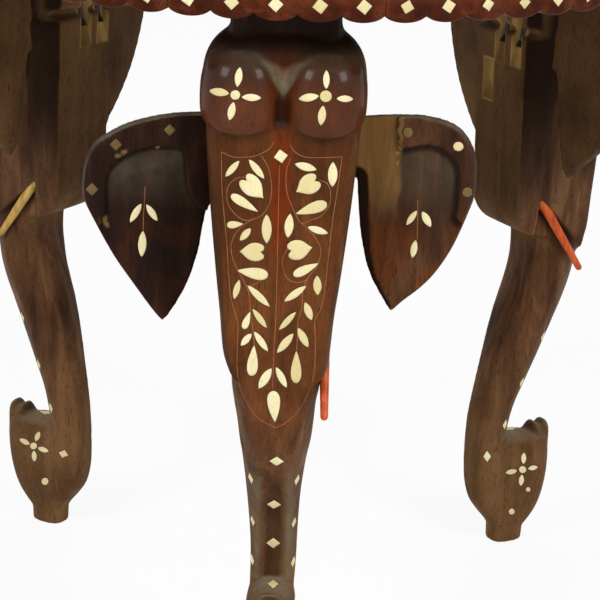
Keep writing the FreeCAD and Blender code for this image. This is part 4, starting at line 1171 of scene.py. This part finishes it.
# ears: outlines and bands in the photograph's pixels, cast on to each ear's own plane
earShape = {
    "out": 165.0,
    "across": 39.6,
    "sweep": 14.0,
    "thickness": 9.0,
    "field": 6.2,
    "grit": 1.0,
    "sanding": 3,
    "cutter": 30.0,          # how far the cutters reach past the board
    "cutterFrame": ((20, 60), (20, 380), (560, 380), (560, 60)),  # pixels, well outside both ears
    "steps": {"outline": 6, "band": 4, "edge": 16, "bandFoot": 10},
    "rearLift": 34.0,
    "rearTop": 341.0,        # before the lift
    "rearLength": 107.0,
    "rearSwell": 3.5,
    "rearTipIn": 12.0,
    "rearTipCurve": 5,
    "rearRoot": 20.0,        # the swell grows over this width beside the head
}
leftEar = {
    "outer": ((220, 112.5), (202, 112.6), (181, 113.4), (159.5, 116), (131, 123), (110, 133), (95, 144),
              (86.4, 161), (83, 184), (84.4, 199), (92, 216), (113, 254), (134.6, 285), (153, 310),
              (162, 320)),
    "inner": ((162, 320), (170, 311), (186, 284), (197, 253), (202.4, 226), (208.4, 203), (220, 200)),
    "band": ((220, 108), (202, 108), (159.5, 110), (131, 118), (106, 128), (88, 142), (78, 161),
             (76, 186), (80, 206), (93, 228), (103.6, 222), (106, 206), (105.4, 184), (111, 168.4),
             (123, 158), (139.6, 150), (159.5, 146.6), (180, 148.6), (184.4, 156), (186, 176), (191, 196),
             (203, 210), (220, 208)),
    "dots": (((164, 130), (176, 130), 11.4), ((110, 144.7), (122, 144.7), 12.0),
             ((85.8, 189.5), (98.2, 189.5), 12.6)),
    "leaves": (((141.4, 203.6), (130.0, 222.4), 6.6), ((146.4, 204.4), (157.4, 221.0), 6.6),
               ((143.0, 231.0), (141.6, 257.0), 8.2)),
    "stem": (((145.2, 186), (144.6, 200), (143.6, 214), (143.2, 231)),),
    "dullDots": (0, 1, 2),
    "chips": (((104.5, 219.5), 3.6), ((117.5, 155.5), 1.7), ((124, 152.6), 1.8), ((158, 147), 1.4),
              ((107, 224), 2.2)),
    "darkEdge": (),
    "bareTo": -10.0,
    "lowWarm": 0.2,
    # shadow and fieldShade set painted shade under the band and in the top of the field
    "shadow": 2.4,
    "rawness": 0.45,
    "fieldShade": 0.1,
    "dotKind": "lozenge",
}
rightEar = {
    "outer": ((350, 117), (364, 116.6), (388, 115.4), (420, 116), (443.5, 121), (459.4, 129.4),
              (469, 142), (474.6, 156.5), (475.6, 172.5), (474, 195), (466, 217), (451.5, 248),
              (435.5, 272), (419.6, 288), (403.6, 300), (391, 311)),
    "inner": ((391, 311), (383, 298), (369.4, 271), (362, 239), (358.6, 204), (357.8, 184), (357, 177),
              (350, 176.6)),
    "band": ((397, 108), (420, 109), (446, 114), (466, 124), (477, 140), (482, 158), (482, 176),
             (480, 198), (468, 222), (456.4, 219), (458, 208), (460, 180), (457.4, 164.5), (447, 152),
             (428, 144.8), (402, 148.6), (398.4, 145.8), (397.4, 141.4), (399.2, 138), (396.8, 134.4),
             (396.2, 128.6), (398.4, 125.2), (397.2, 119.4), (398.8, 113.6)),
    "dots": (((402.6, 132.6), (412.6, 132.6), 10.2), ((453.2, 146.5), (463.4, 146.5), 9.2),
             ((462.4, 192.4), (472.4, 192.4), 9.6)),
    "leaves": (((416.8, 210.7), (406.3, 225.2), 6.0), ((422.0, 211.5), (430.8, 226.9), 7.4),
               ((415.6, 240.0), (412.2, 258.2), 6.8)),
    "stem": (((417.8, 200), (417.6, 212), (417.6, 226), (417.0, 239.4)),),
    "dullDots": (0, 2),
    "chips": (((398.6, 140.6), 1.0), ((400, 147.8), 1.7), ((398, 153.4), 1.2), ((397.6, 163), 0.9),
              ((397.8, 170.6), 0.6), ((403, 118), 0.7)),
    # darkEdge, shadow and fieldShade set painted shade: a strip along the inner edge where the ear's
    # thickness lies in shadow, under the band, and in the top of the field
    "darkEdge": ((357.0, 178), (358.6, 204), (362, 239), (369.4, 271), (383, 298), (388, 306)),
    "bareTo": 63.0,
    "lowWarm": 0.9,
    "shadow": 5.5,
    "rawness": 0.95,
    "fieldShade": 0.4,
    "dotKind": "disc",
}


def earPlane(side, depth):
    sweep = math.radians(earShape["sweep"])
    facing = Vector((-side * math.sin(sweep), -math.cos(sweep), 0))
    corner = spot(earShape["out"], side * earShape["across"], 0)
    return corner + facing * depth * mm, facing


def onEarPlane(place, side, depth):
    origin, facing = earPlane(side, depth)
    start, way = pixelRay(place)
    return start + way * ((origin - start).dot(facing) / way.dot(facing))


def makeEar(name, ear, side):
    thick, field, reach = earShape["thickness"], earShape["field"], earShape["cutter"]
    steps = earShape["steps"]
    facing = earPlane(side, 0)[1]
    outline = catmull(ear["outer"], steps["outline"]) + catmull(ear["inner"], steps["outline"])[1:]
    outline = [onEarPlane(place, side, thick / 2) - facing * (thick / 2) * mm for place in outline]
    bm = bmesh.new()
    prism(bm, outline, facing * thick * mm)
    board = makePiece(name, bm)
    # the field is sunk everywhere but under the band
    bandLine = [onEarPlane(place, side, thick) for place in catmull(ear["band"], steps["band"])]
    bm = bmesh.new()
    prism(bm, [p - facing * reach * mm for p in bandLine], facing * 2 * reach * mm)
    band = makePiece("band", bm)
    bm = bmesh.new()
    wide = [onEarPlane(place, side, thick) for place in earShape["cutterFrame"]]
    prism(bm, [p - facing * (thick - field) * mm for p in wide], facing * reach * mm)
    sunk = makePiece("sunk", bm)
    subtract(sunk, band)
    subtract(board, sunk)
    carve(board, earShape["grit"] * mm, earShape["sanding"])
    markEar(board, ear, side)
    return board


def nearest(places):
    tree = KDTree(len(places))
    for i, place in enumerate(places):
        tree.insert(place, i)
    tree.balance()
    return tree


# dust lies in the top of the field, splinters are bare, and the broken ear is bare beside the head
earZones = {
    "sunk": (1.0, ("front", 0.5, 0.9), ("overField", 1.4, 0.5)),
    "bare": (1.0, ("front", 0.3, 0.8), ("pastRagged", 1.2, -0.6), ("height", 284, 312)),
    "low": (1.0, ("front", 0.3, 0.8), ("height", 310, 270)),
    "dusty": (0.3, ("height", 288, 318)),
    "fieldTop": (1.0, ("height", 280, 300)),
    "mottled": (1.0, ("mottle", -0.15, 0.3)),
    "faded": (0.9, ("front", -0.3, -0.8)),
    "edgeGrowth": (6.0, ("height", 225, 320)),
}
earWear = {
    "ragged": 1.6,
    "bareWarm": 0.7,
    "bareStripe": 0.16,
    "bareRaw": 0.34,
    "lowStripe": 0.2,
    "edgeRoot": 1.4,
    "edgeRough": 0.8,
    "edgeCore": 0.8,
    "chipRough": 0.7,
    "chipCore": 0.5,
    "shade": 0.9,
    "shadeCore": 0.35,
    "noise": {"ragged": 160, "mottle": 55, "edge": 130, "chip": 420},
}


def earChips(board, ear):
    tree = treeOf(board)
    found = [(firstHit(tree, *pixelRay(place)), size) for place, size in ear["chips"]]
    return [(hit[0], size * mm) for hit, size in found if hit]


def earLine(points, steps, side):
    return nearest([onEarPlane(place, side, earShape["field"]) for place in catmull(points, steps)])


def markEar(board, ear, side):
    marks = {key: [] for key in ("warm", "stripe", "dusty", "paintedShade", "faded", "raw")}
    origin, facing = earPlane(side, 0)
    chips = earChips(board, ear)
    dark = earLine(ear["darkEdge"], earShape["steps"]["edge"], side) if ear["darkEdge"] else None
    bandFoot = earLine(ear["band"], earShape["steps"]["bandFoot"], side)
    for vertex in board.data.vertices:
        place = vertex.co
        rough = {key: noise.noise(place * scale) for key, scale in earWear["noise"].items()}
        ragged = ear["bareTo"] + earWear["ragged"] * rough["ragged"]
        reading = {"height": place.z / mm, "front": vertex.normal.dot(facing), "mottle": rough["mottle"],
                   "overField": (place - origin).dot(facing) / mm - earShape["field"],
                   "pastRagged": abs(place.x) / mm - ragged}
        here = {key: zone(rows, reading) for key, rows in earZones.items()}
        covered = 1.0 - here["bare"]
        low = here["low"] * ear["lowWarm"] * here["mottled"]
        marks["dusty"].append(here["sunk"] * here["dusty"] * covered)
        marks["warm"].append(max(earWear["bareWarm"] * here["bare"], low))
        marks["stripe"].append(max(earWear["bareStripe"] * here["bare"], earWear["lowStripe"] * low))
        marks["faded"].append(here["faded"])
        # painted shade along the inner edge, where the ear's thickness lies in shadow
        taper = here["edgeGrowth"] + earWear["edgeRoot"] + earWear["edgeRough"] * rough["edge"]
        edge = ease(taper, earWear["edgeCore"] * taper, dark.find(place)[2] / mm) if dark else 0.0
        chipRough = 1.0 + earWear["chipRough"] * rough["chip"]
        chipped = 0.0
        for middle, size in chips:
            reach = size * chipRough
            chipped = max(chipped, ease(reach, earWear["chipCore"] * reach, (place - middle).length))
        marks["raw"].append(max(earWear["bareRaw"] * here["bare"] * (1.0 - edge), ear["rawness"] * chipped))
        # painted shade from the band on the sunk field
        field = covered * here["sunk"]
        far = bandFoot.find(place)[2] / mm
        under = earWear["shade"] * field * ease(ear["shadow"], earWear["shadeCore"] * ear["shadow"], far)
        # all of it painted shade: the inner edge, the band's shadow and the top of the field
        marks["paintedShade"].append(max(edge, under, ear["fieldShade"] * field * here["fieldTop"]))
    keepMarks(board.data, marks)


def earInlay(name, ear, board):
    tree = treeOf(board)
    rows = {"Sprig": [("leaf", *leaf) for leaf in ear["leaves"]], "Dots": []}
    for i, dot in enumerate(ear["dots"]):
        rows["Dots" if i in ear["dullDots"] else "Sprig"].append((ear["dotKind"], *dot))
    sprig = layPieces(name, photoPieces(tree, rows["Sprig"]))
    dots = layPieces(name + "Dots", photoPieces(tree, rows["Dots"]))
    stem = scribe(name + "StemLine", [lineOnPhoto(tree, points) for points in ear["stem"]])
    return (*sprig, *dots, stem)


def mirroredMesh(mesh, name):
    bm = bmesh.new()
    bm.from_mesh(mesh)
    bmesh.ops.scale(bm, vec=(-1, 1, 1), verts=bm.verts)
    bmesh.ops.reverse_faces(bm, faces=bm.faces)
    copy = bpy.data.meshes.new(name)
    bm.to_mesh(copy)
    bm.free()
    copy.shade_smooth()
    return copy


def roundRearEar(mesh):
    # the rear ears swell more at the side, and their tips lie nearer the head
    for vertex in mesh.vertices:
        share = max(0.0, min(1.0, (earShape["rearTop"] - vertex.co.z / mm) / earShape["rearLength"]))
        root = abs(vertex.co.x) / mm - earShape["across"]
        swell = math.sin(math.pi * share) * ease(0, earShape["rearRoot"], root)
        shift = earShape["rearSwell"] * swell - earShape["rearTipIn"] * share ** earShape["rearTipCurve"]
        vertex.co.x += shift * mm if vertex.co.x > 0 else -shift * mm
    mesh.update()


# each ear's pieces: name, finish, slot and what they stand for
earPieces = (
    ("ear", fadedEarWood, "ear_wood", "ear_"),
    ("earSprig", bone, "bone", "ear_inlay_"),
    ("earSeams", mastic, "ear_wood", ""),
    ("earDots", dullBone, "bone", "ear_inlay_"),
    ("earDotSeams", mastic, "ear_wood", ""),
    ("earStem", scribed, "ear_wood", ""),
)


def layEars():
    whole = []
    for hand, ear, side in (("left", leftEar, -1), ("right", rightEar, 1)):
        board = makeEar("ear_front_" + hand, ear, side)
        pieces = [board, *earInlay("earInlay_front_" + hand, ear, board)]
        for piece, (label, finish, slot, group) in zip(pieces, earPieces):
            darker = piece is board and hand == "left"
            dress(piece, earWood if darker else finish, slot, *([group + "front_" + hand] if group else []))
        whole = whole or pieces
    # the rear ears are whole on both sides, and sit higher
    lift = earShape["rearLift"] * mm
    for key in ("rear_right", "rear_left"):
        for hand in ("left", "right"):
            for source, (label, finish, slot, group) in zip(whole, earPieces):
                copy = turnedCopy(source, "_".join((label, key, hand)), legTurns[key], lift)
                own = source.data
                copy.data = own.copy() if hand == "left" else mirroredMesh(own, label + hand)
                roundRearEar(copy.data)
                dress(copy, finish, slot, *([group + key + "_" + hand] if group else []))


layEars()
print("ears fitted")

# apron: thirteen butt-jointed pieces with a scalloped, rounded lower edge and a lozenge in each scallop
apronShape = {
    "segments": 13,
    "scallops": 5,
    "turn": -1.2,
    "joint": 0.05,       # degrees left open at each end
    "outer": 230.0,
    "inner": 218.0,
    "top": 424.0,
    "low": 404.0,
    "scallop": 3.6,
    "scallopReach": 0.94,
    "scallopRise": 0.66,
    "steps": 16,         # along each scallop
    "square": 9.0,
    "round": 2.2,
    "roundSteps": 5,
    "arris": 1.0,
    "stone": 7.4,
    "stoneRise": 8.6,
    "stoneTilt": 14.0,
    "stoneSpread": (0.9, 1.1),
    "seed": 5,
}


def scallopLow(angle, pitch):
    share = abs(angle / pitch - round(angle / pitch)) * 2
    arch = 1 - math.sqrt(max(0.0, 1 - (share * apronShape["scallopReach"]) ** 2))
    return apronShape["low"] + apronShape["scallop"] * arch / apronShape["scallopRise"]


def apronSegment():
    pitch = 360.0 / apronShape["segments"] / apronShape["scallops"]
    half = pitch * apronShape["scallops"] / 2 - apronShape["joint"]
    steps = apronShape["scallops"] * apronShape["steps"]
    inner, outer, top = apronShape["inner"], apronShape["outer"], apronShape["top"]
    bend, arris = apronShape["round"], apronShape["arris"]
    rings = []
    for i in range(steps + 1):
        angle = -half + 2 * half * i / steps
        low = scallopLow(angle, pitch)
        profile = [(inner, top), (outer, top), (outer, apronShape["low"] + apronShape["square"])]
        for k in range(apronShape["roundSteps"] + 1):
            way = math.radians(90 * k / apronShape["roundSteps"])
            profile.append((outer - bend + bend * math.cos(way), low + bend - bend * math.sin(way)))
        profile += [(inner + arris, low), (inner, low + arris)]
        across, ahead = math.sin(math.radians(angle)), -math.cos(math.radians(angle))
        rings.append([Vector((out * across, out * ahead, height)) * mm for out, height in profile])
    bm = bmesh.new()
    loft(bm, rings)
    return makePiece("apronSegment01", bm)


def apronStones():
    pitch = 360.0 / apronShape["segments"] / apronShape["scallops"]
    count = apronShape["segments"] * apronShape["scallops"]
    rings = []
    hand = random.Random(apronShape["seed"])
    for i in range(count):
        tilt = math.radians(hand.uniform(-1, 1) * apronShape["stoneTilt"])
        size = apronShape["stone"] * hand.uniform(*apronShape["stoneSpread"])
        middle = apronShape["turn"] + i * pitch

        def cast(place):
            way = math.radians(middle) + place.x / apronShape["outer"]
            out = Vector((math.sin(way), -math.cos(way), 0))
            height = apronShape["low"] + apronShape["stoneRise"] + place.y
            return (out * apronShape["outer"] + Vector((0, 0, height))) * mm, out

        swing = Matrix.Rotation(tilt, 2)
        rings.append(castRings(cast, [swing @ Vector(place) * size for place in outlines["lozenge"]]))
    return layPieces("apronDiamonds", rings)


def fitApron():
    segment = apronSegment()
    step = 360.0 / apronShape["segments"]
    for i in range(apronShape["segments"]):
        piece = segment if i == 0 else turnedCopy(segment, "apronSegment%02d" % (i + 1), 0)
        piece.matrix_world = Matrix.Rotation(math.radians(apronShape["turn"] + i * step), 4, "Z")
        dress(piece, apronWood, "apron_wood", "apron_segment_%02d" % (i + 1))
    plates, seams = apronStones()
    dress(plates, bone, "bone", "apron_diamonds")
    dress(seams, mastic, "apron_wood")


fitApron()
print("apron fitted")


# CAD pieces that stay: top board and its inlay, tusks and screws
keptArris = {"width": 0.3, "segments": 2, "angle": 50.0}


def finishNode(name, material, rounded=False):
    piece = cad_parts[name]
    piece.data.materials.clear()
    piece.data.materials.append(material)
    if rounded:
        soft = piece.modifiers.new("arris", "BEVEL")
        soft.width = keptArris["width"] * mm
        soft.segments = keptArris["segments"]
        soft.limit_method = "ANGLE"
        soft.angle_limit = math.radians(keptArris["angle"])


finishNode("top_board", topWood)
for name in ("top_border_diamonds", "top_wreath", "top_rosette"):
    finishNode(name, bone, True)
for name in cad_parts:
    if name.startswith("tusk_"):
        finishNode(name, tuskYellow if "rear_left" in name else tuskOrange)
finishNode("pocket_screws", screwSteel)
print("top, tusks and screws finished")

# room: pale floor and soft light
room = {
    "floor": 6.0,
    "white": srgb(252, 252, 252),
    "cameraWhite": 0.88,
    "rough": 0.9,
    "world": 0.38,
    "lamps": (((-1.5, -1.7, 1.9), 1.0, 36.0), ((1.5, -1.6, 1.8), 1.0, 36.0), ((0.2, 1.8, 1.7), 1.4, 8.0)),
    "aim": (0.0, 0.0, 0.25),
}


def whiteToCamera(tree, light, share):
    # camera, glossy and transmission rays see a white room
    path = tree.nodes.new("ShaderNodeLightPath")
    seen = path.outputs["Is Camera Ray"]
    for kind in ("Is Glossy Ray", "Is Transmission Ray"):
        either = tree.nodes.new("ShaderNodeMath")
        either.operation = "MAXIMUM"
        tree.links.new(seen, either.inputs[0])
        tree.links.new(path.outputs[kind], either.inputs[1])
        seen = either.outputs[0]
    scaled = tree.nodes.new("ShaderNodeMath")
    scaled.operation = "MULTIPLY"
    tree.links.new(seen, scaled.inputs[0])
    scaled.inputs[1].default_value = share
    blend = tree.nodes.new("ShaderNodeMixShader")
    tree.links.new(scaled.outputs[0], blend.inputs[0])
    tree.links.new(light, blend.inputs[1])
    return blend


def makeRoom():
    bm = bmesh.new()
    bmesh.ops.create_grid(bm, x_segments=1, y_segments=1, size=room["floor"])
    floor = makePiece("floor", bm)
    paper = bpy.data.materials.new("paperFloor")
    paper.use_nodes = True
    tree = paper.node_tree
    shader = tree.nodes["Principled BSDF"]
    shader.inputs["Base Color"].default_value = room["white"]
    shader.inputs["Roughness"].default_value = room["rough"]
    glow = tree.nodes.new("ShaderNodeEmission")
    glow.inputs["Color"].default_value = (1, 1, 1, 1)
    blend = whiteToCamera(tree, shader.outputs[0], room["cameraWhite"])
    tree.links.new(glow.outputs[0], blend.inputs[2])
    tree.links.new(blend.outputs[0], tree.nodes["Material Output"].inputs["Surface"])
    floor.data.materials.append(paper)
    world = bpy.data.worlds.new("room")
    scene.world = world
    world.use_nodes = True
    tree = world.node_tree
    soft = tree.nodes["Background"]
    soft.inputs["Color"].default_value = (1, 1, 1, 1)
    soft.inputs["Strength"].default_value = room["world"]
    bright = tree.nodes.new("ShaderNodeBackground")
    bright.inputs["Color"].default_value = (1, 1, 1, 1)
    blend = whiteToCamera(tree, soft.outputs[0], 1.0)
    tree.links.new(bright.outputs[0], blend.inputs[2])
    tree.links.new(blend.outputs[0], tree.nodes["World Output"].inputs["Surface"])
    for place, size, power in room["lamps"]:
        lamp = bpy.data.lights.new("softBox", "AREA")
        lamp.size = size
        lamp.energy = power
        box = bpy.data.objects.new("softBox", lamp)
        box.location = place
        box.rotation_euler = (Vector(room["aim"]) - Vector(place)).to_track_quat("-Z", "Y").to_euler()
        scene.collection.objects.link(box)


makeRoom()
scene.view_settings.view_transform = "Standard"
print("room lit")

bpy.context.view_layer.update()
